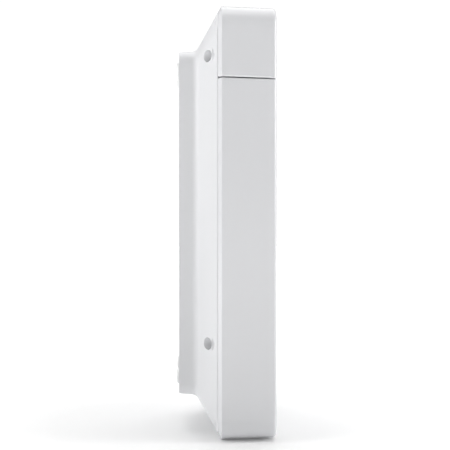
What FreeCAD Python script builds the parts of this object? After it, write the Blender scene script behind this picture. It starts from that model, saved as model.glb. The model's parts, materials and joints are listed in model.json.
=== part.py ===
"""Surface-mounted video doorbell: a tall white door station on a flared rear housing.

Frame: +Z up, the front faces -Y, X runs across the front. The origin is the middle of the four
wall-screw holes, on the back face of the wall bracket. "Depth" is the distance in front of that
face, so a depth of 14 is the plane y = -14. Sizes are in millimetres and angles in degrees.

Every size is a cell of the sheet, written once. A text such as "body_width / 2 - wall" is an
expression in those cells, and each feature is bound to one.
"""

import FreeCAD
import Part

import math
import os
import re

import Sketcher
from FreeCAD import Placement, Rotation, Vector

SIZES = {
    # Outline of the two front covers, and how they narrow towards the front.
    "body_width": 75.0,
    "body_height": 157.0,
    "base_depth": 14.0,
    "cover_depth": 21.0,
    "corner_radius": 8.0,
    "draft_angle": 1.5,
    "front_fillet": 1.3,
    "lip_depth": 1.3,
    "cover_wall": 3.2,
    "front_wall": 2.4,
    # The seam between the camera cover and the main cover, which falls towards the front.
    "seam_from_top": 26.5,
    "seam_gap": 0.4,
    "seam_slope": 1.5,
    "seam_fillet": 0.5,
    "seam_wall": 2.0,
    # Rear housing: a straight plinth, a hollow cove and a flare out to the covers.
    "flare_angle": 57.8,
    "plinth_depth": 4.8,
    "plinth_draft": 3.5,
    "plinth_radius": 5.5,
    "cove_depth": 2.5,
    "base_wall": 2.0,
    "reveal_width": 0.25,
    "reveal_inset": 0.45,
    "tongue_height": 2.5,
    "tongue_width": 1.5,
    "gasket_width": 1.1,
    "gasket_height": 1.6,
    # Recess in the back that takes the wall bracket.
    "recess_width": 36.0,
    "recess_from_end": 26.5,
    "recess_depth": 5.0,
    "recess_radius": 3.0,
    "relief_width": 13.0,
    "relief_height": 4.5,
    "relief_floor": 2.0,
    # Case screws, driven from behind through counterbores in the flare.
    "case_screw_from_side": 7.7,
    "case_screw_from_top": 17.9,
    "case_screw_from_bottom": 34.6,
    "case_screw_recess": 4.5,
    "case_screw_floor": 0.3,
    "tower_diameter": 6.8,
    "case_boss_diameter": 6.0,
    "case_screw_length": 9.6,
    # One screw family: the diameter over the thread, the head and the clearance round it.
    "screw_diameter": 2.5,
    "screw_head": 4.2,
    "screw_head_height": 1.6,
    "screw_socket": 2.0,
    "screw_socket_depth": 1.0,
    "screw_clearance": 0.2,
    "thread_clearance": 0.03,
    "fit_gap": 0.1,
    "pole_flat": 0.1,
    # Wall bracket.
    "bracket_play": 2.0,
    "bracket_plate": 1.5,
    "bracket_radius": 2.5,
    "wall_hole": 4.5,
    "wall_hole_x": 20.0,
    "wall_hole_z": 80.0,
    "window_width": 25.0,
    "window_height": 32.0,
    "window_radius": 4.0,
    "hook_x": 10.0,
    "hook_width": 6.0,
    "hook_reach": 4.3,
    "hook_rise": 4.6,
    "hook_gap": 0.3,
    "tab_width": 10.0,
    "tab_reach": 4.6,
    "lock_depth": 2.75,
    "lock_sink": 3.0,
    # Pads between the plinth and the wall.
    "pad_diameter": 6.0,
    "pad_proud": 1.0,
    "pad_sink": 0.8,
    "pad_edge": 6.5,
    # Cable entry.
    "entry_width": 24.0,
    "entry_height": 14.0,
    "grommet_flange": 1.5,
    "grommet_lip": 1.0,
    "grommet_pip": 5.0,
    "grommet_pip_x": 6.0,
    "grommet_skin": 0.8,
    # Camera window and what looks through it.
    "camera_from_top": 12.5,
    "glass_width": 40.0,
    "glass_height": 15.0,
    "glass_thick": 1.5,
    "glass_sink": 0.2,
    "glass_ledge": 2.0,
    "dome_diameter": 11.8,
    "dome_edge": 0.6,
    "dome_radius": 18.0,
    "barrel_diameter": 8.6,
    "barrel_thread": 12.0,
    "barrel_bore": 6.0,
    "barrel_ahead": 3.2,
    "barrel_from_front": 2.3,
    "element_edge": 0.8,
    "element_radius": 4.4,
    "baffle_wall": 0.9,
    "holder_size": 15.0,
    "holder_base": 4.6,
    "holder_height": 7.6,
    "holder_tube": 14.4,
    "holder_wall": 1.2,
    "sensor_size": 8.0,
    "sensor_height": 0.9,
    "post_x": 22.0,
    "post_diameter": 4.4,
    "camera_board_width": 50.0,
    "camera_board_height": 18.0,
    "camera_board_thick": 1.2,
    "led_board_width": 48.0,
    "led_board_height": 18.0,
    "led_board_thick": 1.0,
    "led_board_from_front": 7.0,
    "ir_led_first": 9.2,
    "ir_led_pitch": 3.5,
    "ir_led_size": 2.8,
    "ir_led_height": 1.2,
    "ir_led_dome": 2.4,
    # Motion sensor below the seam.
    "motion_below_seam": 25.0,
    "dish_diameter": 20.0,
    "dish_depth": 1.8,
    "fresnel_diameter": 14.4,
    "fresnel_wall": 0.8,
    "fresnel_flange": 1.6,
    "fresnel_radius": 13.0,
    "shroud_wall": 1.2,
    "can_diameter": 8.2,
    "can_flange": 9.2,
    "can_ahead": 2.3,
    "can_height": 4.8,
    "can_leg": 0.5,
    "can_leg_circle": 2.5,
    "can_window": 3.4,
    # Call button and its light ring.
    "button_below_motion": 33.0,
    "button_diameter": 21.5,
    "button_sink": 0.4,
    "button_thick": 2.2,
    "button_edge": 0.5,
    "stem_diameter": 5.0,
    "stem_ahead": 1.1,
    "ring_width": 2.2,
    "ring_gap": 0.25,
    "ring_sink": 0.15,
    "ring_flange": 1.2,
    "ring_flange_thick": 1.2,
    "ring_skirt": 1.4,
    "ring_ahead": 1.8,
    "guide_from_front": 10.5,
    "guide_thick": 1.5,
    "guide_wall": 0.9,
    "guide_height": 5.1,
    "clip_diameter": 8.0,
    "clip_thick": 0.6,
    "clip_groove": 4.0,
    "seal_skin": 0.6,
    "seal_hub": 4.2,
    "seal_hub_height": 1.3,
    "spring_diameter": 8.0,
    "spring_wire": 0.7,
    "spring_turns": 4.0,
    "symbol_thick": 0.15,
    "symbol_half": 2.9,
    "symbol_flare": 4.2,
    "ring_led_size": 1.6,
    "ring_led_height": 0.8,
    "ring_led_count": 8.0,
    "tact_size": 6.0,
    "tact_height": 2.8,
    "tact_plunger": 3.4,
    "tact_plunger_foot": 0.8,
    # Loudspeaker and its grille.
    "speaker_above_bottom": 32.5,
    "grille_radius": 13.0,
    "grille_slot": 1.3,
    "grille_pitch": 3.2,
    "mesh_thick": 0.3,
    "foam_width": 2.0,
    "foam_thick": 0.7,
    "basket_diameter": 32.0,
    "basket_rim": 1.2,
    "basket_rim_width": 2.4,
    "basket_from_front": 10.4,
    "basket_skin": 0.8,
    "basket_well": 2.6,
    "magnet_diameter": 17.0,
    "magnet_thick": 4.0,
    "cone_skin": 0.4,
    "cone_neck": 4.0,
    "cone_neck_rise": 2.8,
    "clamp_width": 36.0,
    "clamp_thick": 1.0,
    "clamp_bite": 1.2,
    "clamp_screw_x": 20.4,
    "clamp_ear": 5.0,
    "small_screw": 2.0,
    "small_head": 3.6,
    "small_head_height": 1.3,
    "small_boss": 4.6,
    # Microphone.
    "mic_above_bottom": 9.0,
    "mic_diameter": 6.0,
    "mic_length": 3.0,
    "mic_port": 1.2,
    "boot_wall": 0.9,
    "boot_length": 5.2,
    # Main circuit board.
    "board_from_side": 11.5,
    "board_below_seam": 6.0,
    "board_above_bottom": 12.5,
    "board_ahead": 3.0,
    "board_thick": 1.6,
    "board_radius": 2.0,
    "board_hole_edge": 3.5,
    "board_boss": 5.5,
    "board_screw_length": 6.0,
    # Flat cable between the boards.
    "ribbon_width": 10.0,
    "ribbon_thick": 0.3,
    "ribbon_notch": 14.0,
    "socket_length": 12.0,
    "socket_height": 1.2,
    "socket_depth": 3.0,
    # Parts on the main board.
    "shield_size": 26.0,
    "shield_height": 2.2,
    "shield_above_bottom": 74.0,
    "shield_radius": 1.0,
    "radio_width": 18.0,
    "radio_height": 9.0,
    "radio_thick": 2.2,
    "radio_board": 0.8,
    "antenna_length": 32.0,
    "antenna_width": 7.0,
    "antenna_thick": 0.8,
    "terminal_length": 35.0,
    "terminal_height": 10.0,
    "terminal_tall": 9.2,
    "terminal_above_bottom": 31.0,
    "terminal_pitch": 5.0,
    "terminal_screw": 3.4,
    "terminal_entry": 3.2,
    "relay_length": 15.0,
    "relay_width": 9.0,
    "relay_tall": 8.0,
    "relay_x": -9.0,
    "power_above_bottom": 14.0,
    "coil_size": 8.0,
    "coil_tall": 4.5,
    "coil_x": 9.0,
    "can_cap_diameter": 6.3,
    "can_cap_length": 7.5,
    "can_cap_x": 18.5,
    "can_cap_below_top": 8.0,
    "tamper_x": 11.0,
    "tamper_z": 27.0,
    "tamper_body": 6.0,
    "tamper_tall": 4.6,
    "tamper_pin": 3.0,
    "tamper_rod": 1.8,
    "tamper_gap": 0.05,
    "tamper_chamfer": 0.4,
    "tamper_rod_length": 2.5,
}

# Places and sizes that follow from the cells.
FOLLOWS = {
    "camera_height": "body_height / 2 - camera_from_top",
    "seam_height": "body_height / 2 - seam_from_top",
    "motion_height": "seam_height - motion_below_seam",
    "button_height": "motion_height - button_below_motion",
    "speaker_height": "speaker_above_bottom - body_height / 2",
    "mic_height": "mic_above_bottom - body_height / 2",
    "board_top": "seam_height - board_below_seam",
    "board_bottom": "board_above_bottom - body_height / 2",
    "board_width": "body_width - 2 * board_from_side",
    "board_hole_x": "board_width / 2 - board_hole_edge",
    "board_back": "base_depth + board_ahead",
    "camera_board_back": "board_back + board_thick / 2",
    "case_screw_x": "body_width / 2 - case_screw_from_side",
    "case_screw_upper": "body_height / 2 - case_screw_from_top",
    "case_screw_lower": "case_screw_from_bottom - body_height / 2",
    "case_screw_seat": "base_depth + case_screw_floor",
    "tower_top": "base_depth + tongue_height",
    "ribbon_notch_depth": "camera_board_back - 2 * fit_gap",
    "recess_height": "body_height - 2 * recess_from_end",
    "bracket_height": "recess_height - 2 * bracket_play",
    "bracket_width": "recess_width - bracket_play",
    "led_board_back": "base_depth + cover_depth - led_board_from_front",
    "barrel_front": "base_depth + cover_depth - barrel_from_front",
    "barrel_step": "led_board_back + led_board_thick / 2",
    "barrel_back": "camera_board_back + barrel_ahead",
    "button_front": "base_depth + cover_depth - button_sink",
    "ring_front": "base_depth + cover_depth - ring_sink",
    "ring_diameter": "button_diameter + 2 * (ring_gap + ring_width)",
    "ring_back": "board_back + board_thick + ring_ahead",
    "guide_floor": "base_depth + cover_depth - guide_from_front",
    "guide_top": "guide_floor + guide_height",
    "stem_tip": "board_back + board_thick + tact_height + stem_ahead",
    "can_back": "board_back + board_thick + can_ahead",
    "basket_back": "base_depth + cover_depth - basket_from_front",
    "magnet_back": "basket_back - magnet_thick",
    "cone_neck_depth": "basket_back + cone_neck_rise",
    "shield_centre": "board_bottom + shield_above_bottom",
    "terminal_centre": "board_bottom + terminal_above_bottom",
    "relay_z": "board_bottom + power_above_bottom",
    "coil_z": "board_bottom + power_above_bottom",
    "can_cap_z": "board_top - can_cap_below_top",
}

LIP_INSET = "(lip_depth * tan(flare_angle))"
FLARE_INSET = f"({LIP_INSET} + (base_depth - plinth_depth - cove_depth) * tan(flare_angle))"
COVE_RADIUS = "(cove_depth / (sin(flare_angle) - sin(plinth_draft)))"
COVE_INSET = f"({FLARE_INSET} + {COVE_RADIUS} * (cos(plinth_draft) - cos(flare_angle)))"
BACK_INSET = f"({COVE_INSET} + plinth_depth * tan(plinth_draft))"
FLARE_WALL = "(base_wall / cos(flare_angle))"
FRONT = "(base_depth + cover_depth)"
FRONT_INSET = "((cover_depth - lip_depth) * tan(draft_angle))"
WALL_INSIDE = f"({FRONT} - front_wall)"
RECESS_FLOOR = "(recess_depth + base_wall)"
COVE_STEPS = 4

GLASS_FRONT = f"({FRONT} - glass_sink)"
GLASS_BACK = f"({GLASS_FRONT} - glass_thick)"
BOARD_FRONT = "(board_back + board_thick)"
CAMERA_BOARD_FRONT = "(camera_board_back + camera_board_thick)"
LED_BOARD_FRONT = "(led_board_back + led_board_thick)"
RING_INSIDE = "(button_diameter / 2 + ring_gap)"
BUTTON_BACK = "(button_front - button_thick)"
SOUND_STACK = f"({WALL_INSIDE} - mesh_thick - foam_thick)"

doc = FreeCAD.newDocument("VideoDoorbell")
sheet = doc.addObject("Spreadsheet::Sheet", "Sizes")
parts = {}


def fill_sheet():
    """Writes each size to the sheet as a plain number, with its name as the alias."""
    for row, (name, number) in enumerate(SIZES.items(), 1):
        sheet.set(f"A{row}", name)
        sheet.set(f"B{row}", str(number))
        sheet.setAlias(f"B{row}", name)
    doc.recompute()


def expression(text):
    """The FreeCAD expression for a text in the names of the sizes."""

    def cell(match):
        name = match[0]
        if name in FOLLOWS:
            return f"({expression(FOLLOWS[name])})"
        return f"Sizes.{name}" if name in SIZES else name

    return re.sub(r"[a-z_]+[a-z0-9_]*", cell, text)


def value(text):
    """What a text in the names of the sizes comes to now."""
    return float(sheet.evalExpression(expression(text)))


def bind(item, prop, text):
    item.setExpression(prop, expression(text))


# Sketches


def sketch_on(body, name, depth="0", plane="XZ_Plane"):
    """An empty sketch on one of the body's own planes; on XZ its x is X, its y is Z, at that depth."""
    made = body.newObject("Sketcher::SketchObject", name)
    support = [f for f in body.Origin.OriginFeatures if f.Role == plane][0]
    made.AttachmentSupport = [(support, "")]
    made.MapMode = "FlatFace"
    bind(made, "AttachmentOffset.Base.z", depth)
    return made


def dimension(made, constraint, text):
    made.setExpression(f"Constraints[{made.addConstraint(constraint)}]", expression(text))


def span(made, kind, start, end, text):
    """Binds the way from one point to another along x or y, whichever way round it is positive."""
    size = value(text)
    if abs(size) < 1e-9:
        level = "Vertical" if kind == "DistanceX" else "Horizontal"
        made.addConstraint(Sketcher.Constraint(level, *start, *end))
        return
    if size < 0:
        start, end, text = end, start, f"-({text})"
    dimension(made, Sketcher.Constraint(kind, *start, *end, abs(size)), text)


def pin_point(made, geometry, end, x, y):
    """Holds a point of the sketch at (x, y) from the sketch's origin."""
    span(made, "DistanceX", (-1, 1), (geometry, end), x)
    span(made, "DistanceY", (-1, 1), (geometry, end), y)


def add_circle(made, diameter, x="0", y="0"):
    circle = Part.Circle(Vector(value(x), value(y), 0), Vector(0, 0, 1), value(diameter) / 2)
    index = made.addGeometry(circle, False)
    dimension(made, Sketcher.Constraint("Diameter", index, value(diameter)), diameter)
    pin_point(made, index, 3, x, y)


def add_outline(made, corners):
    """A closed outline. A corner is (x, y), or (x, y, radius, side) where an arc leads to the next one.

    side is 1 where the arc's centre is left of the way from this corner to the next, and -1 if right.
    """
    spots = [Vector(value(c[0]), value(c[1]), 0) for c in corners]
    ends, first = [], made.GeometryCount
    for index, corner in enumerate(corners):
        here, there = spots[index], spots[(index + 1) % len(spots)]
        if len(corner) == 2:
            made.addGeometry(Part.LineSegment(here, there), False)
            ends.append((1, 2))
            continue
        radius, side = value(corner[2]), corner[3]
        chord = there - here
        rise = math.sqrt(max(radius**2 - (chord.Length / 2) ** 2, 0.0))
        left = Vector(-chord.y, chord.x, 0).normalize()
        centre = (here + there) / 2 + left * rise * side
        circle = Part.Circle(centre, Vector(0, 0, 1), radius)
        start, stop = (here, there) if side > 0 else (there, here)
        angles = [math.atan2(p.y - centre.y, p.x - centre.x) for p in (start, stop)]
        made.addGeometry(Part.ArcOfCircle(circle, *angles), False)
        ends.append((1, 2) if side > 0 else (2, 1))
    for index, corner in enumerate(corners):
        following = (index + 1) % len(corners)
        joint = (first + index, ends[index][1], first + following, ends[following][0])
        made.addConstraint(Sketcher.Constraint("Coincident", *joint))
    for index, corner in enumerate(corners):
        pin_point(made, first + index, ends[index][0], corner[0], corner[1])
        if len(corner) > 2:
            dimension(made, Sketcher.Constraint("Radius", first + index, value(corner[2])), corner[2])


def add_rounded(made, width, height, radius, x="0", y="0"):
    """A rounded rectangle about (x, y)."""
    half_w, half_h, r = value(width) / 2, value(height) / 2, value(radius)
    cx, cy = value(x), value(y)
    first = made.GeometryCount
    turn = [
        (half_w - r, r - half_h, 270),
        (half_w - r, half_h - r, 0),
        (r - half_w, half_h - r, 90),
        (r - half_w, r - half_h, 180),
    ]
    for index, (px, py, angle) in enumerate(turn):
        centre = Vector(cx + px, cy + py, 0)
        before = turn[index - 1]
        spoke = Rotation(Vector(0, 0, 1), angle) * Vector(r, 0, 0)
        from_arc = Vector(cx + before[0], cy + before[1], 0) + spoke
        made.addGeometry(Part.LineSegment(from_arc, centre + spoke), False)
        circle = Part.Circle(centre, Vector(0, 0, 1), r)
        made.addGeometry(Part.ArcOfCircle(circle, math.radians(angle), math.radians(angle + 90)), False)
    rule = Sketcher.Constraint
    for index in range(8):
        made.addConstraint(rule("Tangent", first + index, 2, first + (index + 1) % 8, 1))
    for index, way in ((0, "Horizontal"), (2, "Vertical"), (4, "Horizontal"), (6, "Vertical")):
        made.addConstraint(rule(way, first + index))
    for index in (1, 3, 5):
        made.addConstraint(rule("Equal", first + index, first + index + 2))
    dimension(made, rule("Radius", first + 1, r), radius)
    span(made, "DistanceX", (first + 6, 1), (first + 2, 1), width)
    span(made, "DistanceY", (first, 1), (first + 4, 1), height)
    span(made, "DistanceX", (-1, 1), (first + 6, 1), f"({x}) - ({width}) / 2")
    span(made, "DistanceY", (-1, 1), (first, 1), f"({y}) - ({height}) / 2")


def add_pill(made, length, height, x="0", y="0"):
    """A slot with round ends, lying along x."""
    r, reach = value(height) / 2, (value(length) - value(height)) / 2
    cx, cy = value(x), value(y)
    first = made.GeometryCount
    for side in (1, -1):
        low, high = Vector(cx - side * reach, cy - side * r, 0), Vector(cx + side * reach, cy - side * r, 0)
        made.addGeometry(Part.LineSegment(low, high), False)
        circle = Part.Circle(Vector(cx + side * reach, cy, 0), Vector(0, 0, 1), r)
        start = -math.pi / 2 if side > 0 else math.pi / 2
        made.addGeometry(Part.ArcOfCircle(circle, start, start + math.pi), False)
    rule = Sketcher.Constraint
    for index in range(4):
        made.addConstraint(rule("Tangent", first + index, 2, first + (index + 1) % 4, 1))
    made.addConstraint(rule("Horizontal", first))
    made.addConstraint(rule("Equal", first + 1, first + 3))
    dimension(made, rule("Radius", first + 1, r), f"({height}) / 2")
    span(made, "DistanceX", (first + 3, 3), (first + 1, 3), f"({length}) - ({height})")
    span(made, "DistanceX", (-1, 1), (first + 1, 3), f"({x}) + (({length}) - ({height})) / 2")
    span(made, "DistanceY", (-1, 1), (first + 1, 3), y)


# Features


def new_body(label):
    made = doc.addObject("PartDesign::Body", label)
    made.Label = label
    return made


def place(item, x="0", depth="0", z="0"):
    """Binds where an object made round its own axis stands."""
    bind(item, "Placement.Base.x", x)
    bind(item, "Placement.Base.y", f"-({depth})")
    bind(item, "Placement.Base.z", z)
    return item


def pad(body, made, length, name="pad"):
    """Fills a sketch towards the front."""
    feature = body.newObject("PartDesign::Pad", name)
    feature.Profile = made
    bind(feature, "Length", length)
    return feature


def pocket(body, made, length, name="pocket", forward=True):
    """Cuts a sketch into the body, towards the front or towards the wall."""
    feature = body.newObject("PartDesign::Pocket", name)
    feature.Profile = made
    feature.Reversed = forward
    bind(feature, "Length", length)
    return feature


def loft(body, sketches, name, ruled=True):
    feature = body.newObject("PartDesign::AdditiveLoft", name)
    feature.Profile = sketches[0]
    feature.Sections = sketches[1:]
    feature.Ruled = ruled
    return feature


def round_edges(body, radius, wanted, name="round", kind="Fillet"):
    """Rounds or chamfers the edges that wanted() says yes to."""
    doc.recompute()
    tip = body.Tip
    names = [f"Edge{n}" for n, edge in enumerate(tip.Shape.Edges, 1) if wanted(edge)]
    feature = body.newObject(f"PartDesign::{kind}", name)
    feature.Base = (tip, names)
    bind(feature, "Radius" if kind == "Fillet" else "Size", radius)
    return feature


def at_depth(depth):
    """A test for edges that lie in the plane at that depth."""
    level = -value(depth)
    return lambda edge: abs(edge.BoundBox.YMin - level) < 1e-4 and abs(edge.BoundBox.YMax - level) < 1e-4


def blunt(corners):
    """Ends each arc that meets the axis on a tiny flat, so that a dome has no pole."""
    out = []
    for index, corner in enumerate(corners):
        if corner[0] == "0" and len(corner) > 2:
            out += [("0", corner[1]), ("pole_flat", *corner[1:])]
        elif corner[0] == "0" and len(corners[index - 1]) > 2:
            out += [("pole_flat", corner[1]), corner]
        else:
            out.append(corner)
    return out


def turned(label, corners, x="0", z="0"):
    """A solid of revolution about a line along Y; each corner is (radius, depth[, arc radius, side])."""
    corners = blunt(corners)
    body = new_body(label)
    profile = sketch_on(body, label + "_profile", plane="XY_Plane")
    add_outline(profile, [(c[0], f"-({c[1]})", *c[2:]) for c in corners])
    feature = body.newObject("PartDesign::Revolution", label + "_turn")
    feature.Profile = profile
    feature.ReferenceAxis = (profile, ["V_Axis"])
    feature.Angle = 360
    return place(body, x, "0", z)


def tube(label, outer, inner, back, front, x="0", z="0"):
    """A plain ring or sleeve between two depths; outer and inner are diameters."""
    sides = [
        (f"({inner}) / 2", back),
        (f"({outer}) / 2", back),
        (f"({outer}) / 2", front),
        (f"({inner}) / 2", front),
    ]
    return turned(label, sides, x, z)


def plate(label, width, height, radius, back, front, x="0", z="0"):
    """A body holding one rounded plate between two depths."""
    body = new_body(label)
    made = sketch_on(body, label + "_outline", back)
    add_rounded(made, width, height, radius, x, z)
    pad(body, made, f"({front}) - ({back})", label + "_plate")
    return body


def drill(body, name, diameter, back, front, spots):
    """Round holes of one size between two depths."""
    made = sketch_on(body, name + "_sketch", back)
    for x, z in spots:
        add_circle(made, diameter, x, z)
    return pocket(body, made, f"({front}) - ({back})", name)


def raise_pegs(body, name, diameter, back, front, spots):
    """Round pegs or bosses of one size between two depths."""
    made = sketch_on(body, name + "_sketch", back)
    for x, z in spots:
        add_circle(made, diameter, x, z)
    return pad(body, made, f"({front}) - ({back})", name)


def block(label, x, back, z, width, depth, height):
    """A box from its low corner in x and z, and from its back plane towards the front."""
    made = doc.addObject("Part::Box", label)
    bind(made, "Length", width)
    bind(made, "Width", depth)
    bind(made, "Height", height)
    return place(made, x, f"({back}) + ({depth})", z)


def centred_block(label, x, back, z, width, depth, height):
    """A box centred on (x, z), from its back plane towards the front."""
    return block(label, f"({x}) - ({width}) / 2", back, f"({z}) - ({height}) / 2", width, depth, height)


def peg(label, x, back, z, diameter, length):
    """A cylinder from its back plane towards the front."""
    made = doc.addObject("Part::Cylinder", label)
    bind(made, "Radius", f"({diameter}) / 2")
    bind(made, "Height", length)
    made.Placement = Placement(Vector(), Rotation(Vector(1, 0, 0), 90))
    return place(made, x, back, z)


def upright(label, x, depth, z, diameter, length):
    """A cylinder that stands along Z from its low end."""
    made = doc.addObject("Part::Cylinder", label)
    bind(made, "Radius", f"({diameter}) / 2")
    bind(made, "Height", length)
    return place(made, x, depth, z)


def cut(label, base, tool):
    made = doc.addObject("Part::Cut", label)
    made.Base, made.Tool = base, tool
    return made


def common(label, base, tool):
    made = doc.addObject("Part::Common", label)
    made.Base, made.Tool = base, tool
    return made


def fuse(label, pieces):
    made = doc.addObject("Part::MultiFuse", label)
    made.Shapes = pieces
    return made


def group(label, pieces):
    """Several separate solids that share one node."""
    made = doc.addObject("Part::Compound", label)
    made.Links = pieces
    return made


def keep(node, item):
    """Names a finished sub-part; the node is also the name of its file."""
    item.Label = node
    parts[node] = item
    return item


# Places that several pieces share

SCREW_SIDES = ("case_screw_x", "-case_screw_x")
UPPER_SCREWS = [(x, "case_screw_upper") for x in SCREW_SIDES]
LOWER_SCREWS = [(x, "case_screw_lower") for x in SCREW_SIDES]
BOARD_HOLES = [
    (x, z)
    for x in ("board_hole_x", "-board_hole_x")
    for z in ("board_top - board_hole_edge", "board_bottom + board_hole_edge")
]
CAMERA_POSTS = [("post_x", "camera_height"), ("-post_x", "camera_height")]
CLAMP_EARS = [("clamp_screw_x", "speaker_height"), ("-clamp_screw_x", "speaker_height")]
WALL_HOLES = [(f"{x} wall_hole_x / 2", f"{z} wall_hole_z / 2") for x in ("-", "") for z in ("-", "")]
PAD_SPOTS = [
    (f"{x} (body_width / 2 - {BACK_INSET} - pad_edge)", f"{z} (body_height / 2 - {BACK_INSET} - pad_edge)")
    for x in ("-", "")
    for z in ("-", "")
]


def outline_at(body, name, depth, inset, radius):
    """The body's outline at one depth, drawn in by inset on every side."""
    made = sketch_on(body, name, depth)
    add_rounded(made, f"body_width - 2 * ({inset})", f"body_height - 2 * ({inset})", radius)
    return made


def ring_of(label, outer_inset, inner_inset, outer_radius, inner_radius, back, front):
    """A closed band that follows the outline."""
    body = new_body(label)
    made = outline_at(body, label + "_band", back, outer_inset, outer_radius)
    size = f"body_width - 2 * ({inner_inset})", f"body_height - 2 * ({inner_inset})"
    add_rounded(made, *size, inner_radius)
    pad(body, made, f"({front}) - ({back})", label + "_pad")
    return body


# Rear housing


def housing_envelope():
    """The solid outside of the rear housing: plinth, cove and flare."""
    body = new_body("housing_envelope")
    back = outline_at(body, "plinth_back", "0", BACK_INSET, "plinth_radius")
    front = outline_at(body, "plinth_front", "plinth_depth", COVE_INSET, "plinth_radius")
    loft(body, [back, front], "plinth")
    cove = [front]
    for step in range(1, COVE_STEPS + 1):
        angle = f"(plinth_draft + (flare_angle - plinth_draft) * {step} / {COVE_STEPS})"
        depth = f"plinth_depth + {COVE_RADIUS} * (sin{angle} - sin(plinth_draft))"
        inset = f"{COVE_INSET} - {COVE_RADIUS} * (cos(plinth_draft) - cos{angle})"
        swell = f"({COVE_INSET} - ({inset})) / ({COVE_INSET} - {LIP_INSET})"
        radius = f"plinth_radius + (corner_radius - plinth_radius) * {swell}"
        cove.append(outline_at(body, f"cove_{step}", depth, inset, radius))
    loft(body, cove, "cove", ruled=False)
    rim = outline_at(body, "rim", "base_depth", LIP_INSET, f"corner_radius - {LIP_INSET} / 4")
    loft(body, [cove[-1], rim], "flare")
    return body


def housing_cavity():
    """The hollow inside the rear housing, from the recess floor to the rim."""
    body = new_body("housing_cavity")
    back = outline_at(body, "cavity_back", RECESS_FLOOR, f"{FLARE_INSET} + {FLARE_WALL}", "plinth_radius / 2")
    front = outline_at(body, "cavity_front", "base_depth", f"{LIP_INSET} + {FLARE_WALL}", "corner_radius / 2")
    loft(body, [back, front], "cavity")
    return body


def lock_screw_places():
    """Depth and heights of the locking screw: the plinth's bottom face, its seat and the bracket's tab."""
    bottom = f"(-body_height / 2 + {COVE_INSET})"
    return bottom, f"({bottom} + lock_sink)"


def rear_housing():
    """Flared moulding that carries the covers and hooks on the wall bracket."""
    envelope = housing_envelope()
    shell = cut("housing_shell", envelope, housing_cavity())
    spots = UPPER_SCREWS + LOWER_SCREWS
    low = [
        peg(f"tower_{n}", x, RECESS_FLOOR, z, "tower_diameter", f"base_depth - {RECESS_FLOOR}")
        for n, (x, z) in enumerate(spots)
    ]
    high = [
        peg(
            f"tower_top_{n}",
            x,
            "base_depth - base_wall",
            z,
            "tower_diameter",
            "tower_top - base_depth + base_wall",
        )
        for n, (x, z) in enumerate(spots)
    ]
    clipped = common("towers_inside", envelope, fuse("towers", low))
    tongue_outer = "(cover_wall + gasket_width)"
    tongue = ring_of(
        "tongue",
        tongue_outer,
        f"{tongue_outer} + tongue_width",
        f"corner_radius - {tongue_outer}",
        "corner_radius - cover_wall - tongue_width - gasket_width + 1",
        "base_depth - base_wall / 2",
        "base_depth + tongue_height",
    )
    outside = cut("tops_trimmed", fuse("tower_tops", high), ring_of_outside())
    solid = fuse("housing_solid", [shell, clipped, outside, tongue])
    return keep("rear_housing", cut("rear_housing", solid, fuse("housing_cuts", housing_cuts())))


def ring_of_outside():
    """The space outside the rim plane's inner band, which trims the tower tops level with the flare."""
    return ring_of(
        "trim_band",
        "-1",
        f"{LIP_INSET} + reveal_inset",
        "corner_radius",
        f"corner_radius - {LIP_INSET}",
        "base_depth - base_wall",
        "base_depth",
    )


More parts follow.
